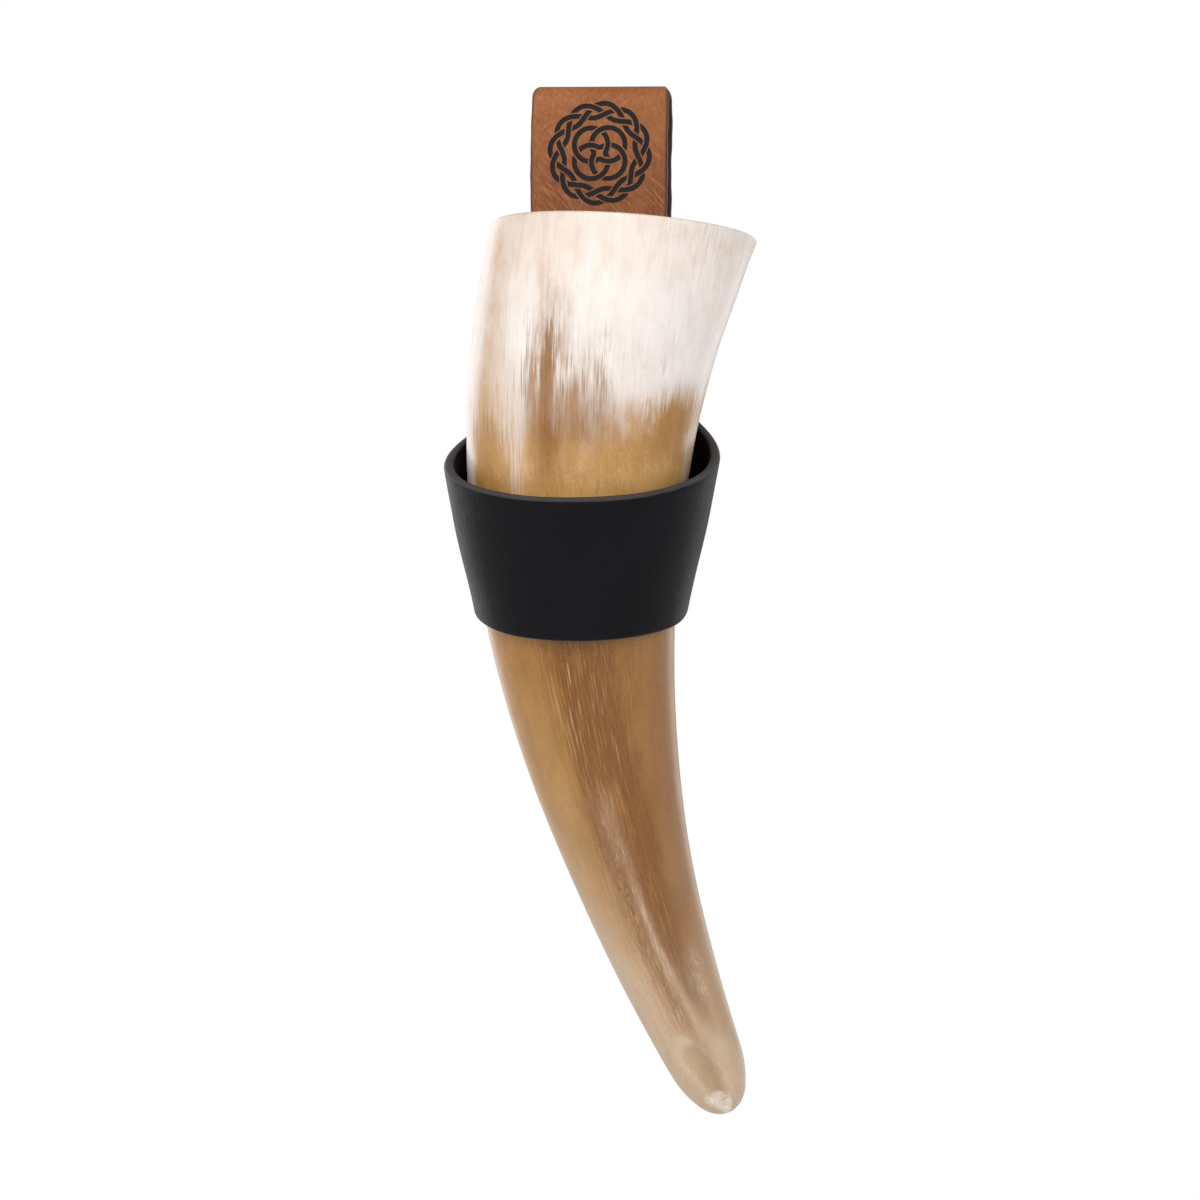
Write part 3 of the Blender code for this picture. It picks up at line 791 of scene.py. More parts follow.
def horn_look():
    k = Look("polished_horn")
    ring, skin = k.attr("ring", vector=True), k.attr("skin", vector=True)
    fine = k.noise(k.mapped(ring, (54, 54, 8.5)), 1.0, 2.0, 0.55)
    hair = k.noise(k.mapped(ring, (96, 96, 11), shift=(3, 1, 2)), 1.0, 1.0)
    thin = k.noise(k.mapped(ring, (118, 118, 15), shift=(9, 4, 1)), 1.0, 2.0, 0.6)
    mid = k.noise(k.mapped(ring, (22, 22, 8), shift=(5, 2, 0)), 1.0, 3.0, 0.6)
    broad = k.noise(k.mapped(ring, (6.5, 6.5, 4.0), shift=(1, 7, 3)), 1.0, 2.0)
    cloud = k.noise(k.mapped(ring, (8, 8, 12), shift=(4, 9, 6)), 1.0, 4.0, 0.62, 0.4)
    speck = k.noise(k.mapped(skin, (58, 58, 80), shift=(2, 8, 5)), 1.0, 3.0, 0.65)
    patch = k.noise(k.mapped(skin, (8, 8, 13), shift=(6, 3, 9)), 1.0, 3.0, 0.6)
    dash = k.noise(k.mapped(skin, (74, 74, 24), shift=(1, 5, 7)), 1.0, 2.0, 0.55)
    hairs, dashes = k.attr("hairs"), k.attr("dashes")

    # body
    tone = k.add(k.attr("tone"), k.off(broad, 0.08), k.off(speck, 0.36), k.off(patch, 0.40),
                 k.times(k.add(k.off(fine, 0.6), k.off(thin, 0.6), k.off(mid, 0.4)),
                         k.add(hairs, 0.16)), k.times(k.off(dash, 1.5), dashes))
    gold = k.ramp(tone, [(0.0, srgb(210, 163, 102)), (0.22, srgb(183, 136, 77)),
                         (0.52, srgb(157, 110, 53)), (1.0, srgb(115, 70, 18))])
    grey = k.ramp(tone, [(0.0, srgb(211, 192, 167)), (0.22, srgb(195, 171, 144)),
                         (0.52, srgb(175, 146, 116)), (1.0, srgb(140, 109, 80))])
    ash = k.add(k.attr("ash"), k.times(k.off(patch, 1.0), k.attr("ash")))
    tan = k.mix(ash, gold, grey)
    tan = k.mix(k.times(k.attr("rose"), 0.36), tan, srgb(163, 121, 88))
    tan = k.mix(k.times(k.attr("olive"), k.ease(patch, 0.3, 0.7, 0.28, 0.5)), tan,
                srgb(156, 124, 76))
    # short pale hairlines along the grain
    line = k.noise(k.mapped(ring, (118, 118, 8), shift=(7, 2, 4)), 1.0, 2.0, 0.5)
    light = k.times(k.ease(line, 0.56, 0.70), k.ease(patch, 0.34, 0.56))
    tan = k.mix(k.times(k.times(light, hairs), 0.42), tan, srgb(220, 188, 144))
    tan = k.mix(k.times(k.times(k.ease(dash, 0.60, 0.72), dashes), 0.5), tan,
                srgb(216, 182, 130))

    tan = k.mix(k.attr("taupe"), tan, srgb(160, 131, 109))

    # milky layer over it: soft clouds, with the grain showing where it is thin
    stir = k.add(k.off(cloud, 2.6), k.off(mid, 0.7), k.off(fine, 0.5), k.off(broad, 0.5))
    stir = k.times(stir, k.calc("SUBTRACT", 1.0, k.times(k.attr("calm"), 0.6)))
    cover = k.ease(k.add(k.attr("milky"), stir), -1.4, 1.4)
    gap = k.add(k.attr("gap"), k.off(mid, 0.5), k.off(fine, 1.8), k.off(hair, 1.1),
                k.off(cloud, 0.5))
    gap = k.times(k.ease(gap, 0.08, 0.96), k.ease(k.attr("gap"), 0.02, 0.24))
    cover = k.times(cover, k.calc("SUBTRACT", 1.0, k.times(gap, 0.95)))
    thinner = k.times(k.times(cover, k.calc("SUBTRACT", 1.0, cover)), 4.0)
    cover = k.add(cover, k.times(thinner, k.add(k.off(fine, 1.3), k.off(hair, 0.8))))
    threads = k.ease(k.add(fine, k.off(mid, 0.8), k.off(cloud, 0.5)), 0.42, 0.74)
    missing = k.add(k.attr("cream"), k.times(k.off(cloud, 0.9), k.attr("cream")),
                    k.times(k.times(threads, k.attr("thread")), 0.11),
                    k.ease(cloud, 0.40, 0.68, 0.0, 0.11),
                    k.ease(k.add(fine, k.off(hair, 0.5), k.off(broad, 0.6)), 0.44, 0.80, 0.0, 0.055))
    cover = k.calc("SUBTRACT", cover, k.times(missing, cover), clamp=True)
    white = k.mix(k.ease(k.add(broad, k.off(fine, 0.5)), 0.35, 0.65), srgb(237, 227, 221),
                  srgb(233, 223, 215))
    white = k.mix(k.times(k.attr("lilac"), k.ease(cloud, 0.3, 0.7, 0.45, 1.0)), white,
                  srgb(234, 227, 225))
    white = k.mix(k.times(k.attr("haze"), k.ease(k.add(fine, k.off(cloud, 0.8)), 0.3, 0.7, 0.5, 1.2)),
                  white, srgb(200, 184, 172))
    colour = k.mix(cover, tan, white)

    # hazy ridge of the lower front, the pale marks round the tip and its end
    ridge = k.attr("ridge")
    ridge = k.times(ridge, k.add(k.off(fine, 2.2), k.off(thin, 1.8), k.off(dash, 2.2),
                                 k.off(patch, 1.4), 0.66))
    colour = k.mix(ridge, colour, srgb(178, 149, 122))
    pale = k.attr("pale")
    pale = k.add(pale, k.times(k.off(fine, 2.4), pale), k.times(k.off(thin, 1.6), pale),
                 k.times(k.off(cloud, 2.0), pale), k.times(k.off(speck, 1.2), pale))
    colour = k.mix(pale, colour, srgb(224, 210, 190))
    flecks = k.ease(k.add(k.times(speck, 0.45), k.times(patch, 0.35), k.times(dash, 0.20)),
                    0.46, 0.60, 0.10, 0.52)
    colour = k.mix(k.times(k.attr("bloom"), flecks), colour, srgb(206, 187, 166))
    worn = k.ease(k.add(k.attr("end_spot"), k.off(speck, 0.9), k.off(patch, 1.4)), 0.0, 0.95)
    colour = k.mix(k.times(worn, k.ease(k.attr("end_spot"), 0.02, 0.40)), colour,
                   srgb(229, 220, 209))
    # inside the horn: duller, browner towards the bottom
    deep = k.mix(k.add(k.attr("depth_in"), k.off(mid, 0.5)), srgb(206, 184, 152),
                 srgb(92, 62, 38))
    colour = k.mix(k.attr("inside"), colour, deep)
    k.set("Base Color", colour)

    rough = k.add(k.times(k.attr("inside"), 0.15), k.off(fine, 0.14), k.off(patch, 0.14),
                  0.44)
    k.set("Roughness", rough)
    k.set("Specular IOR Level", 0.25)
    k.set("Coat Weight", 0.30)
    k.set("Coat Roughness", 0.24)
    grain = k.add(k.times(fine, k.add(hairs, 0.35)), k.times(speck, 0.5))
    k.set("Normal", k.bump(grain, 0.12, 0.00012))
    return k


# --------------------------------------------------------------------- collar
def inner_back_y():
    return -(LOOP_GAP / 2 + STRAP_THICK + TOUCH + COLLAR_THICK)


def collar_point(across, up):
    """Inner face of the collar in mm, for arrays across -1..1 and up 0..1."""
    sb, cb = math.sin(CONE_HALF), math.cos(CONE_HALF)
    back = inner_back_y()
    origin = np.array([0.0, back + FLAT_DEPTH, CONE_POINT_Z])
    axis = np.array([0.0, -sb, cb])
    front = np.array([0.0, -cb, -sb])
    side = np.array([1.0, 0.0, 0.0])
    edge = STRIP_LOW + (STRIP_HIGH - STRIP_LOW) * up
    stop = math.pi - 0.5 * SEAM_GAP / (edge / math.cos(math.pi * sb) * sb)
    phi = across * stop
    rho = edge / np.cos(phi * sb)
    p = origin + (rho * cb)[..., None] * axis + (rho * sb)[..., None] * (
        np.cos(phi)[..., None] * front + np.sin(phi)[..., None] * side)
    p[..., 0] = COLLAR_X + p[..., 0] * (WIDTH_LOW + (WIDTH_HIGH - WIDTH_LOW) * up)
    p[..., 1] = origin[1] + (p[..., 1] - origin[1]) * DEPTH_STRETCH
    d = p[..., 1] - back
    p[..., 1] = back - 0.5 * (np.sqrt(d * d + FLAT_SOFT * FLAT_SOFT) - d)
    mid = origin + 0.5 * (STRIP_LOW + STRIP_HIGH) * cb * axis
    dx, dz = p[..., 0] - mid[0], p[..., 2] - mid[2]
    c, s = math.cos(COLLAR_ROLL), math.sin(COLLAR_ROLL)
    p[..., 0] = mid[0] + c * dx + s * dz
    p[..., 2] = mid[2] - s * dx + c * dz
    return p


def rounded_section(length, thick, radius, cols, arc):
    """Closed outline of a strip's cut: distance along its width, and depth
    from 0 at one face to thick at the other, with round corners."""
    out = []
    for i in range(cols + 1):
        out.append((radius + (length - 2 * radius) * i / cols, 0.0))
    for i in range(1, arc + 1):
        a = 0.5 * math.pi * i / arc
        out.append((length - radius + radius * math.sin(a), radius - radius * math.cos(a)))
    for i in range(arc + 1):
        a = 0.5 * math.pi * i / arc
        out.append((length - radius + radius * math.cos(a),
                    thick - radius + radius * math.sin(a)))
    for i in range(1, cols + 1):
        out.append((length - radius - (length - 2 * radius) * i / cols, thick))
    for i in range(1, arc + 1):
        a = 0.5 * math.pi * i / arc
        out.append((radius - radius * math.sin(a), thick - radius + radius * math.cos(a)))
    for i in range(arc):
        a = 0.5 * math.pi * i / arc
        out.append((radius - radius * math.cos(a), radius - radius * math.sin(a)))
    # points that fall together are kept once
    clean = []
    for p in out:
        if not clean or math.hypot(p[0] - clean[-1][0], p[1] - clean[-1][1]) > 1e-6:
            clean.append(p)
    return clean


def sweep(name, sections, smooth_angle):
    """Closed solid through equal rings of points, capped at both ends."""
    rings = np.array(sections)
    n, m = rings.shape[0], rings.shape[1]
    verts = rings.reshape(-1, 3)
    faces = []
    for i in range(n - 1):
        for j in range(m):
            k = (j + 1) % m
            faces.append((i * m + j, i * m + k, (i + 1) * m + k, (i + 1) * m + j))
    faces.append(tuple(range(m)))
    faces.append(tuple((n - 1) * m + j for j in reversed(range(m))))
    obj = new_object(name, verts, faces, smooth_angle)
    outward(obj)
    shade(obj, smooth_angle)
    return obj


def rivet_holes():
    holes = []
    for x in (-RIVET_X, RIVET_X):
        for z in RIVET_Z:
            bm = bmesh.new()
            bmesh.ops.create_cone(bm, cap_ends=True, segments=40,
                                  radius1=HOLE_R * MM, radius2=HOLE_R * MM,
                                  depth=0.04)
            mesh = bpy.data.meshes.new("hole")
            bm.to_mesh(mesh)
            bm.free()
            hole = bpy.data.objects.new("hole", mesh)
            hole.matrix_world = (Matrix.Translation((x * MM, -4 * MM, z * MM))
                                 @ Matrix.Rotation(math.radians(90.0), 4, "X"))
            SCENE.collection.objects.link(hole)
            hole.hide_render = True
            holes.append(hole)
    return holes


def make_collar():
    stations = 220
    across = np.linspace(-1.0, 1.0, stations)
    tall = np.linalg.norm(collar_point(across, np.ones(stations))
                          - collar_point(across, np.zeros(stations)), axis=1)
    rings, edge, face = [], [], []
    eps = 1e-4
    for i in range(stations):
        h = tall[i]
        outline = rounded_section(h, COLLAR_THICK, 0.95, 18, 6)
        up = np.array([o[0] for o in outline]) / h
        depth = np.array([o[1] for o in outline])
        a = np.full(len(up), across[i])
        p = collar_point(a, up)
        da = collar_point(a + eps, up) - collar_point(a - eps, up)
        du = collar_point(a, up + eps) - collar_point(a, up - eps)
        n = np.cross(da, du)
        n /= np.linalg.norm(n, axis=1, keepdims=True)
        # outwards is away from the horn's axis
        centre = np.array([COLLAR_X, -36.0, 0.0])
        flip = np.sign((p[:, 0] - centre[0]) * n[:, 0] + (p[:, 1] - centre[1]) * n[:, 1])
        n *= flip[:, None]
        # slight unevenness of the cut edges
        wave = 0.10 * math.sin(9.0 * across[i] + 0.6) + 0.06 * math.sin(23.0 * across[i])
        pared = 0.34 * step(-up, -0.62, -0.04) * step(-abs(across[i]), -0.78, -0.66) \
            * step(abs(across[i]), 0.12, 0.36)
        p = p + n * (depth * (1.0 - pared))[:, None]
        p[:, 2] += wave * np.clip(np.abs(up - 0.5) * 2.0 - 0.6, 0.0, 1.0) * 2.0 * (up > 0.5)
        # lower edge let down a little on the right
        p[:, 2] -= 1.2 * hill(across[i] - 0.46, 0.20) * step(-up, -0.45, 0.0)
        rings.append(p)
        edge.append(np.minimum(up, 1.0 - up) * h)
        face.append(depth / COLLAR_THICK)
    collar = sweep("collar_leather", rings, 50.0)
    put(collar, "edge", np.array(edge).ravel())
    put(collar, "face", np.array(face).ravel())
    wear(collar, collar_look())
    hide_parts("collar")
    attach(collar, "holder")
    return collar


def collar_look():
    k = Look("black_leather")
    place = k.place()
    pores = k.cells(k.mapped(place, (1, 1, 1)), 900.0)
    crease = k.noise(place, 320.0, 4.0, 0.6)
    dust = k.noise(place, 1900.0, 2.0, 0.6)
    cloud = k.noise(place, 34.0, 3.0)
    face, edge = k.attr("face"), k.attr("edge")
    outer = k.ease(face, 0.2, 0.8)
    # lighter along both cut edges: partly burnished leather, partly a painted highlight where the
    # rounded rim catches the light
    rim = k.ease(k.add(edge, k.off(cloud, 0.7), k.off(crease, 0.4)), 0.75, 0.1)
    black = k.mix(k.ease(cloud, 0.35, 0.7), srgb(12, 10, 14), srgb(18, 15, 21))
    black = k.mix(k.times(k.ease(pores, 0.25, 0.7), 0.35), black, srgb(8, 7, 9))
    black = k.mix(k.ease(dust, 0.50, 0.72, 0.0, 0.5), black, srgb(27, 24, 29))
    flesh = k.mix(crease, srgb(11, 10, 11), srgb(24, 22, 22))
    colour = k.mix(outer, flesh, black)
    colour = k.mix(k.times(rim, 0.85), colour, srgb(70, 66, 66))
    k.set("Base Color", colour)
    rough = k.add(k.off(cloud, 0.16), k.off(crease, 0.12), k.times(rim, -0.12),
                  k.ease(face, 0.8, 0.2, 0.0, 0.32), 0.50)
    k.set("Roughness", rough)
    k.set("Specular IOR Level", 0.10)
    height = k.add(k.times(pores, 0.7), k.times(crease, 0.8), k.times(dust, 0.4))
    k.set("Normal", k.bump(height, 0.22, 0.00025))
    return k


# ---------------------------------------------------------------------- strap
def strap_line():
    """Middle line of the folded strip as (y, z), front end to back end."""
    mid = LOOP_GAP / 2 + STRAP_THICK / 2
    top = -LOOP_GAP / 2
    line = []
    ends = [END_ROUND * (1.0 - math.cos(0.5 * math.pi * i / 10.0)) for i in range(10)]
    for dz in ends:
        line.append((-mid, STRAP_BOTTOM + dz))
    start = STRAP_BOTTOM + END_ROUND
    for i in range(58):
        line.append((-mid, start + (top - start) * i / 58.0))
    for i in range(41):
        a = math.pi * (1.0 - i / 40.0)
        line.append((mid * math.cos(a), top + mid * math.sin(a)))
    straight = top - LOOP_HEIGHT
    for i in range(1, 26):
        line.append((mid, top - LOOP_HEIGHT * i / 25.0))
    near = -mid + STRAP_THICK + TOUCH
    for i in range(1, 21):
        k = i / 20.0
        line.append((mid + (near - mid) * k * k * (3.0 - 2.0 * k),
                     straight - LOOP_CLOSE * k))
    low = straight - LOOP_CLOSE
    for i in range(1, 23):
        line.append((near, low + (start - low) * i / 22.0))
    for dz in reversed(ends):
        line.append((near, STRAP_BOTTOM + dz))
    return np.array(line)


def strap_half(z):
    rise = max(0.0, 1.0 - (STRAP_THICK / 2 - z) / 2.4)
    return STRAP_WIDTH / 2 - FOLD_PINCH * rise ** 3


def strap_lean(x, z):
    """The strip draws in towards the fold, on its left more than its right."""
    rise = step(z, -14.0, 1.0)
    side = 0.6 * rise - 0.45 * step(z, -70.0, -40.0) if x < 0 else \
        -0.1 - 0.3 * step(-z, 4.0, 28.0)
    return side * min(abs(x) / 20.0, 1.0)


def make_strap():
    line = strap_line()
    d = np.gradient(line, axis=0)
    d /= np.linalg.norm(d, axis=1, keepdims=True)
    normal = np.stack([-d[:, 1], d[:, 0]], axis=1)      # outside of the fold
    run = np.concatenate([[0.0], np.cumsum(np.linalg.norm(np.diff(line, axis=0), axis=1))])
    total = run[-1]
    rings = []
    for i, (y, z) in enumerate(line):
        half = strap_half(z)
        # rounded corners at both cut ends
        to_end = min(run[i], total - run[i])
        if to_end < END_ROUND:
            half -= END_ROUND - math.sqrt(max(0.0, END_ROUND ** 2 - (END_ROUND - to_end) ** 2))
        wob = 0.09 * math.sin(0.31 * run[i]) + 0.06 * math.sin(0.83 * run[i] + 1.0)
        outline = rounded_section(2 * half, STRAP_THICK, 0.75, 26, 5)
        pts = []
        for w, depth in outline:
            x = w - half
            x += wob * (1.0 if x > 0 else -0.8) * step(abs(x), half - 3.0, half)
            x += strap_lean(x, z)
            n = STRAP_THICK / 2 - depth
            pts.append((x, y + normal[i, 0] * n,
                        z + normal[i, 1] * n - 0.017 * x * step(z, -30.0, 0.0)))
        rings.append(np.array(pts))
    strap = sweep("strap_leather", rings, 45.0)
    look, ink = strap_look(), ink_look()
    wear(strap, look, ink)

    cut(strap, rivet_holes() + [knot_cutter(ink)], 45.0)

    # after the cuts: distance from the side edge, and front or back of the skin
    p = points_mm(strap)
    up = np.maximum(p[:, 2] + LOOP_GAP / 2, 0.0)
    bend = np.hypot(p[:, 1], up)
    mid_z = np.where(up > 0.0, (LOOP_GAP + STRAP_THICK) / 2 * up / np.maximum(bend, 0.1)
                     - LOOP_GAP / 2, p[:, 2])
    half = np.array([strap_half(z) for z in mid_z])
    side = p[:, 0] - np.array([strap_lean(x, z) for x, z in zip(p[:, 0], mid_z)])
    from_side = half - np.abs(side)
    from_end = p[:, 2] - STRAP_BOTTOM
    corner = END_ROUND - np.hypot(END_ROUND - from_side, END_ROUND - from_end)
    edge = np.where((from_side < END_ROUND) & (from_end < END_ROUND), corner,
                    np.minimum(from_side, from_end))
    put(strap, "edge", edge)
    # inside of the belt loop, and the side edges of its rear leaf: near black, partly dark flesh side
    # and edge paint, partly painted shade in the loop's gap
    inner = step(-bend, -3.1, -2.7) * step(p[:, 2], -66.0, -58.0)
    rear = 0.9 * step(p[:, 1], 1.6, 2.4) * step(-up, -4.2, -1.0) * step(-edge, -0.9, -0.35) \
        * step(p[:, 2], -66.0, -48.0)
    put(strap, "inner", np.maximum(inner, rear))
    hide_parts("belt_strap")
    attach(strap, "holder")
    return strap


def strap_look():
    k = Look("tan_leather")
    place = k.place()
    x, y, z = k.split(place)
    cloud = k.noise(place, 60.0, 4.0, 0.65)
    soft = k.noise(k.mapped(place, (1, 1, 0.6)), 24.0, 2.0)
    grain = k.noise(place, 1000.0, 3.0, 0.65)
    nap = k.noise(k.mapped(k.mapped(place, (1, 1, 1), (0, 18, 0)), (1500, 900, 420)), 1.0, 2.0)
    tone = k.add(k.off(cloud, 0.8), k.off(soft, 0.4), k.off(grain, 0.5), k.off(nap, 0.6),
                 k.ease(z, -0.034, 0.002, 0.28, 0.02), 0.42)
    tan = k.ramp(tone, [(0.08, srgb(173, 117, 75)), (0.45, srgb(149, 91, 51)),
                        (0.85, srgb(116, 64, 32))])
    # fine slanting scratches, mostly one way and mostly low down
    low = k.times(k.ease(z, -0.008, -0.026, 0.25, 1.0), k.ease(y, -0.004, 0.0, 1.0, 0.6))
    slant = k.mapped(place, (1, 1, 1), (0, 43, 0))
    one = k.noise(k.mapped(slant, (2300, 500, 150)), 1.0, 2.0, 0.6)
    two = k.noise(k.mapped(k.mapped(place, (1, 1, 1), (0, -46, 0)), (2300, 500, 150),
                           shift=(4, 2, 8)), 1.0, 1.0)
    lines = k.times(k.times(k.ease(one, 0.54, 0.70), k.ease(cloud, 0.32, 0.54)), low)
    dents = k.times(k.times(k.ease(one, 0.47, 0.33), k.ease(cloud, 0.64, 0.40)), low)
    cross = k.times(k.times(k.ease(two, 0.58, 0.74), k.ease(soft, 0.44, 0.62)),
                    k.ease(z, -0.024, -0.006))
    tan = k.mix(k.times(lines, 0.44), tan, srgb(200, 142, 102))
    tan = k.mix(k.times(dents, 0.52), tan, srgb(104, 58, 33))
    tan = k.mix(k.times(cross, 0.26), tan, srgb(200, 142, 100))
    # dark burnished edges, uneven
    edge = k.add(k.attr("edge"), k.off(cloud, 1.0), k.off(grain, 0.5))
    tan = k.mix(k.times(k.ease(edge, 0.95, 0.1), 0.85), tan, srgb(66, 41, 28))
    # near black inside the loop and on the rear leaf's edges: dark flesh side and edge paint, with
    # painted shade of the loop's gap
    tan = k.mix(k.times(k.attr("inner"), k.ease(grain, 0.2, 0.8, 1.0, 0.8)), tan,
                srgb(22, 16, 14))
    k.set("Base Color", tan)
    k.set("Roughness", k.add(k.off(cloud, 0.2), k.off(grain, 0.14), 0.58))
    k.set("Specular IOR Level", 0.25)
    height = k.add(k.times(grain, 0.6), k.times(nap, 0.4), k.times(lines, 0.8),
                   k.times(dents, -0.9), k.times(cross, 0.5))
    k.set("Normal", k.bump(height, 0.30, 0.00018))
    return k


def ink_look():
    k = Look("burnt_black")
    place = k.place()
    grain = k.noise(place, 1100.0, 3.0, 0.6)
    cloud = k.noise(place, 160.0, 3.0)
    k.set("Base Color", k.mix(k.add(k.off(grain, 0.6), cloud), srgb(12, 11, 12),
                              srgb(28, 26, 26)))
    k.set("Roughness", k.add(k.off(cloud, 0.2), 0.6))
    k.set("Specular IOR Level", 0.22)
    k.set("Normal", k.bump(grain, 0.3, 0.0001))
    return k


# --------------------------------------------------------- knotwork medallion
KNOT_CENTRE_Z = -17.2
KNOT_BAND = 0.74            # half width of a band, mm
KNOT_GAP = 0.30             # bare leather left beside a crossing
KNOT_DEPTH = 0.28


def plait_ring(count=900):
    """Three strands plaited into a ring, as closed lines with a height."""
    t = np.linspace(0.0, 2 * math.pi, count, endpoint=False)
    out = []
    for i in range(3):
        w = 4.0 * t + i * 2 * math.pi / 3.0
        r = 12.55 + 2.08 * np.sin(w)
        out.append((r * np.cos(t), r * np.sin(t), np.sin(2.0 * w)))
    return out


def four_lobes(count=1200):
    """One strand that winds three times round and makes four lobes."""
    t = np.linspace(0.0, 6 * math.pi, count, endpoint=False)
    r = 5.08 + 3.38 * np.cos(4.0 * t / 3.0)
    turned = t + math.radians(45.0)
    return [(r * np.cos(turned), r * np.sin(turned), np.sin(8.0 * t / 3.0))]


def crossings(a, b, same):
    """Places where closed line a meets closed line b, as index pairs."""
    ax, ay = a[0], a[1]
    bx, by = b[0], b[1]
    n, m = len(ax), len(bx)
    a2x, a2y = np.roll(ax, -1), np.roll(ay, -1)
    b2x, b2y = np.roll(bx, -1), np.roll(by, -1)
    found = []
    for i in range(n):
        rx, ry = a2x[i] - ax[i], a2y[i] - ay[i]
        sx, sy = b2x - bx, b2y - by
        den = rx * sy - ry * sx
        with np.errstate(divide="ignore", invalid="ignore"):
            u = ((bx - ax[i]) * sy - (by - ay[i]) * sx) / den
            v = ((bx - ax[i]) * ry - (by - ay[i]) * rx) / den
        hit = np.nonzero((u >= 0) & (u < 1) & (v >= 0) & (v < 1))[0]
        for j in hit:
            if same:
                gap = min((i - j) % n, (j - i) % n)
                if gap < 12:
                    continue
            found.append((i, int(j)))
    return found


def visible_bands(strands):
    """Outlines of the bands' visible lengths: a band stops short of the one
    that passes over it, with its end cut along that band's side."""
    under = [[] for _ in strands]
    for a in range(len(strands)):
        for b in range(a, len(strands)):
            for i, j in crossings(strands[a], strands[b], a == b):
                if a == b and i > j:
                    continue
                if strands[a][2][i] < strands[b][2][j]:
                    under[a].append((i, b, j))
                else:
                    under[b].append((j, a, i))
    pieces = []
    keep = KNOT_BAND + KNOT_GAP
    for a, (x, y, _) in enumerate(strands):
        n = len(x)
        dx = np.roll(x, -1) - np.roll(x, 1)
        dy = np.roll(y, -1) - np.roll(y, 1)
        length = np.hypot(dx, dy)
        nx, ny = -dy / length, dx / length
        sides = [(x + nx * KNOT_BAND, y + ny * KNOT_BAND),
                 (x - nx * KNOT_BAND, y - ny * KNOT_BAND)]
        cuts = sorted(under[a])
        for c in range(len(cuts)):
            first, last = cuts[c], cuts[(c + 1) % len(cuts)]
            i0 = first[0]
            i1 = last[0] if last[0] > i0 else last[0] + n
            if c == len(cuts) - 1 and len(cuts) == 1:
                i1 = i0 + n
            edges = []
            for sx, sy in sides:
                idx = np.arange(i0, i1 + 1)
                px, py = sx[idx % n], sy[idx % n]
                ok = np.ones(len(idx), bool)
                for (at, b, j), start in ((first, True), (last, False)):
                    ox, oy = strands[b][0], strands[b][1]
                    m = len(ox)
                    near = np.arange(j - 70, j + 71) % m
                    dist = np.hypot(px[:, None] - ox[near][None, :],
                                    py[:, None] - oy[near][None, :]).min(axis=1)
                    half = len(idx) // 2
                    part = np.zeros(len(idx), bool)
                    if start:
                        part[:half] = True
                    else:
                        part[half:] = True
                    ok &= ~(part & (dist < keep))
                good = np.nonzero(ok)[0]
                if len(good) < 6:
                    edges = None
                    break
                lo, hi = good[0], good[-1]
                k = np.linspace(lo, hi, 22)
                edges.append(np.stack([np.interp(k, np.arange(len(idx)), px),
                                       np.interp(k, np.arange(len(idx)), py)], axis=1))
            if edges is not None:
                pieces.append(edges)
    return pieces


def knot_cutter(ink):
    """All bands as closed prisms that reach into the front of the strap."""
    front = -(LOOP_GAP / 2 + STRAP_THICK)
    verts, faces = [], []
    for strands in (plait_ring(), four_lobes()):
        for left, right in visible_bands(strands):
            base = len(verts)
            n = len(left)
            for y in (front + KNOT_DEPTH, front - 0.6):
                for side in (left, right):
                    for px, pz in side:
                        verts.append((px, y, pz + KNOT_CENTRE_Z))

            def at(level, side, i):
                return base + (level * 2 + side) * n + i
            for i in range(n - 1):
                for level in (0, 1):
                    faces.append((at(level, 0, i), at(level, 0, i + 1),
                                  at(level, 1, i + 1), at(level, 1, i)))
                for side in (0, 1):
                    faces.append((at(0, side, i), at(0, side, i + 1),
                                  at(1, side, i + 1), at(1, side, i)))
            for i in (0, n - 1):
                faces.append((at(0, 0, i), at(0, 1, i), at(1, 1, i), at(1, 0, i)))
    cutter = new_object("knot_cutter", verts, faces)
    outward(cutter)
    wear(cutter, ink)
    cutter.hide_render = True
    return cutter


# --------------------------------------------------------------------- rivets
def turned(name, profile, place, sign, segments=56):
    """Solid turned about a line along Y from (radius, height) points that run
    from the top of the axis round to its lower end; sign is the way up."""
    verts, faces = [], []
    ring_start = []
    for r, h in profile:
        if r < 1e-9:
            ring_start.append((len(verts), 1))
            verts.append((place[0], place[1] + sign * h, place[2]))
        else:
            ring_start.append((len(verts), segments))
            for i in range(segments):
                a = 2 * math.pi * i / segments
                verts.append((place[0] + r * math.cos(a), place[1] + sign * h,
                              place[2] + r * math.sin(a)))
    for (s0, n0), (s1, n1) in zip(ring_start, ring_start[1:]):
        for i in range(segments):
            k = (i + 1) % segments
            if n0 == 1 and n1 == 1:
                continue
            if n0 == 1:
                faces.append((s0, s1 + i, s1 + k))
            elif n1 == 1:
                faces.append((s0 + i, s1, s0 + k))
            else:
                faces.append((s0 + i, s1 + i, s1 + k, s0 + k))
    obj = new_object(name, verts, faces, 38.0)
    outward(obj)
    shade(obj, 38.0)
    return obj


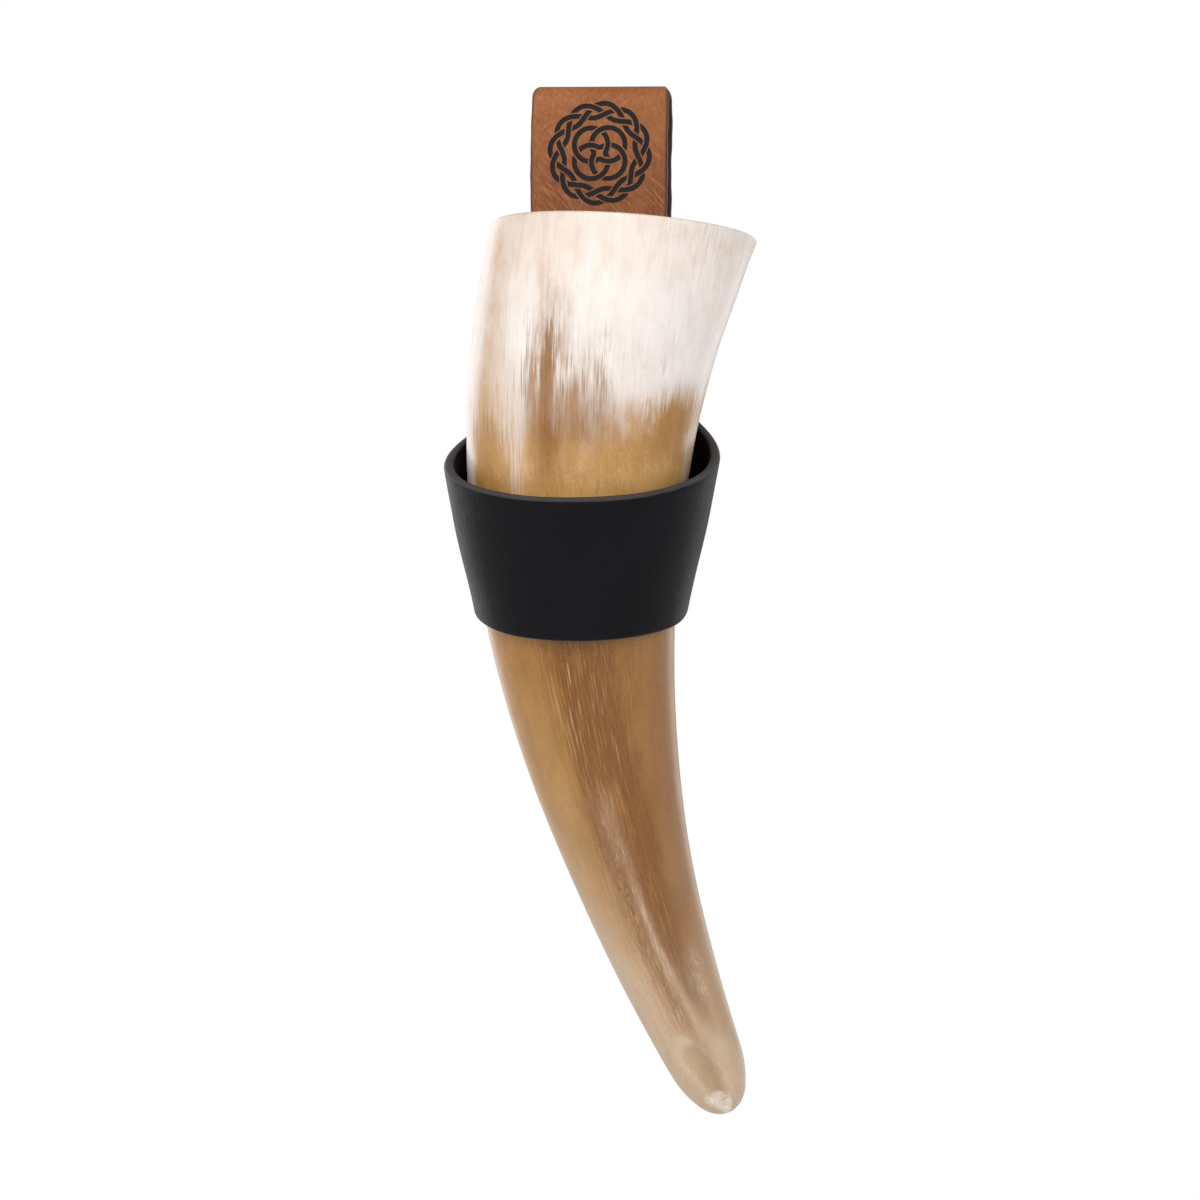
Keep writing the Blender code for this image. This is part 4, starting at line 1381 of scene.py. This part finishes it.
def dome_profile(radius, rim, height):
    """Low dome with a small rolled rim, from its top down."""
    out = [(0.0, height)]
    inner = radius - 0.55
    rise = height - rim - 0.12
    for i in range(1, 15):
        a = 0.5 * math.pi * i / 14
        out.append((inner * math.sin(a), rim + 0.12 + rise * math.cos(a) ** 0.9))
    bead = 0.26
    for i in range(1, 10):
        a = math.pi * (0.75 - i / 9.0 * 0.95)
        out.append((radius - bead + bead * math.cos(a), rim - 0.05 + bead * math.sin(a)))
    return out


def metal_look():
    k = Look("nickel")
    place = k.place()
    brush = k.noise(k.mapped(place, (300, 300, 2500)), 1.0, 2.0)
    spots = k.noise(place, 420.0, 4.0, 0.6)
    tint = k.mix(k.ease(spots, 0.42, 0.72), srgb(178, 174, 168), srgb(132, 126, 118))
    k.set("Base Color", tint)
    k.set("Metallic", 1.0)
    k.set("Roughness", k.add(k.off(brush, 0.16), k.off(spots, 0.22), 0.30))
    k.set("Normal", k.bump(brush, 0.08, 0.00005))
    return k


def make_rivets():
    inside = inner_back_y()
    rear = -LOOP_GAP / 2 + TOUCH + STRAP_THICK
    reach = rear - inside
    look = metal_look()
    number = 0
    for z in RIVET_Z:
        for x in (-RIVET_X, RIVET_X):
            number += 1
            lift = TOUCH + 0.25
            tip = -(reach + SOCKET_DEPTH)
            head = [(r, h + lift) for r, h in dome_profile(HEAD_R, 0.35, HEAD_H)]
            head += [(HEAD_R - 0.35, lift), (POST_R + 0.2, lift), (POST_R, lift - 0.2),
                     (POST_R, tip + 0.3), (POST_R - 0.3, tip), (0.0, tip)]
            post = turned("rivet_head_%d" % number, head, (x, inside, z), -1.0)
            wear(post, look)
            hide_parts("rivet_post_%d" % number)
            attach(post, "holder")

            shell = dome_profile(HEAD_R, 0.45, CAP_H)
            shell += [(HEAD_R - 0.4, 0.0), (SOCKET_R + 0.15, 0.0), (SOCKET_R, 0.15),
                      (SOCKET_R, SOCKET_DEPTH), (0.0, SOCKET_DEPTH)]
            cap = turned("rivet_dome_%d" % number, shell, (x, rear + TOUCH, z), 1.0)
            wear(cap, look)
            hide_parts("rivet_cap_%d" % number)
            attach(cap, "holder")


# ----------------------------------------------------------------------- make
make_camera()
make_studio()
make_horn()
collar = make_collar()
cut(collar, rivet_holes(), 50.0)
make_strap()
make_rivets()
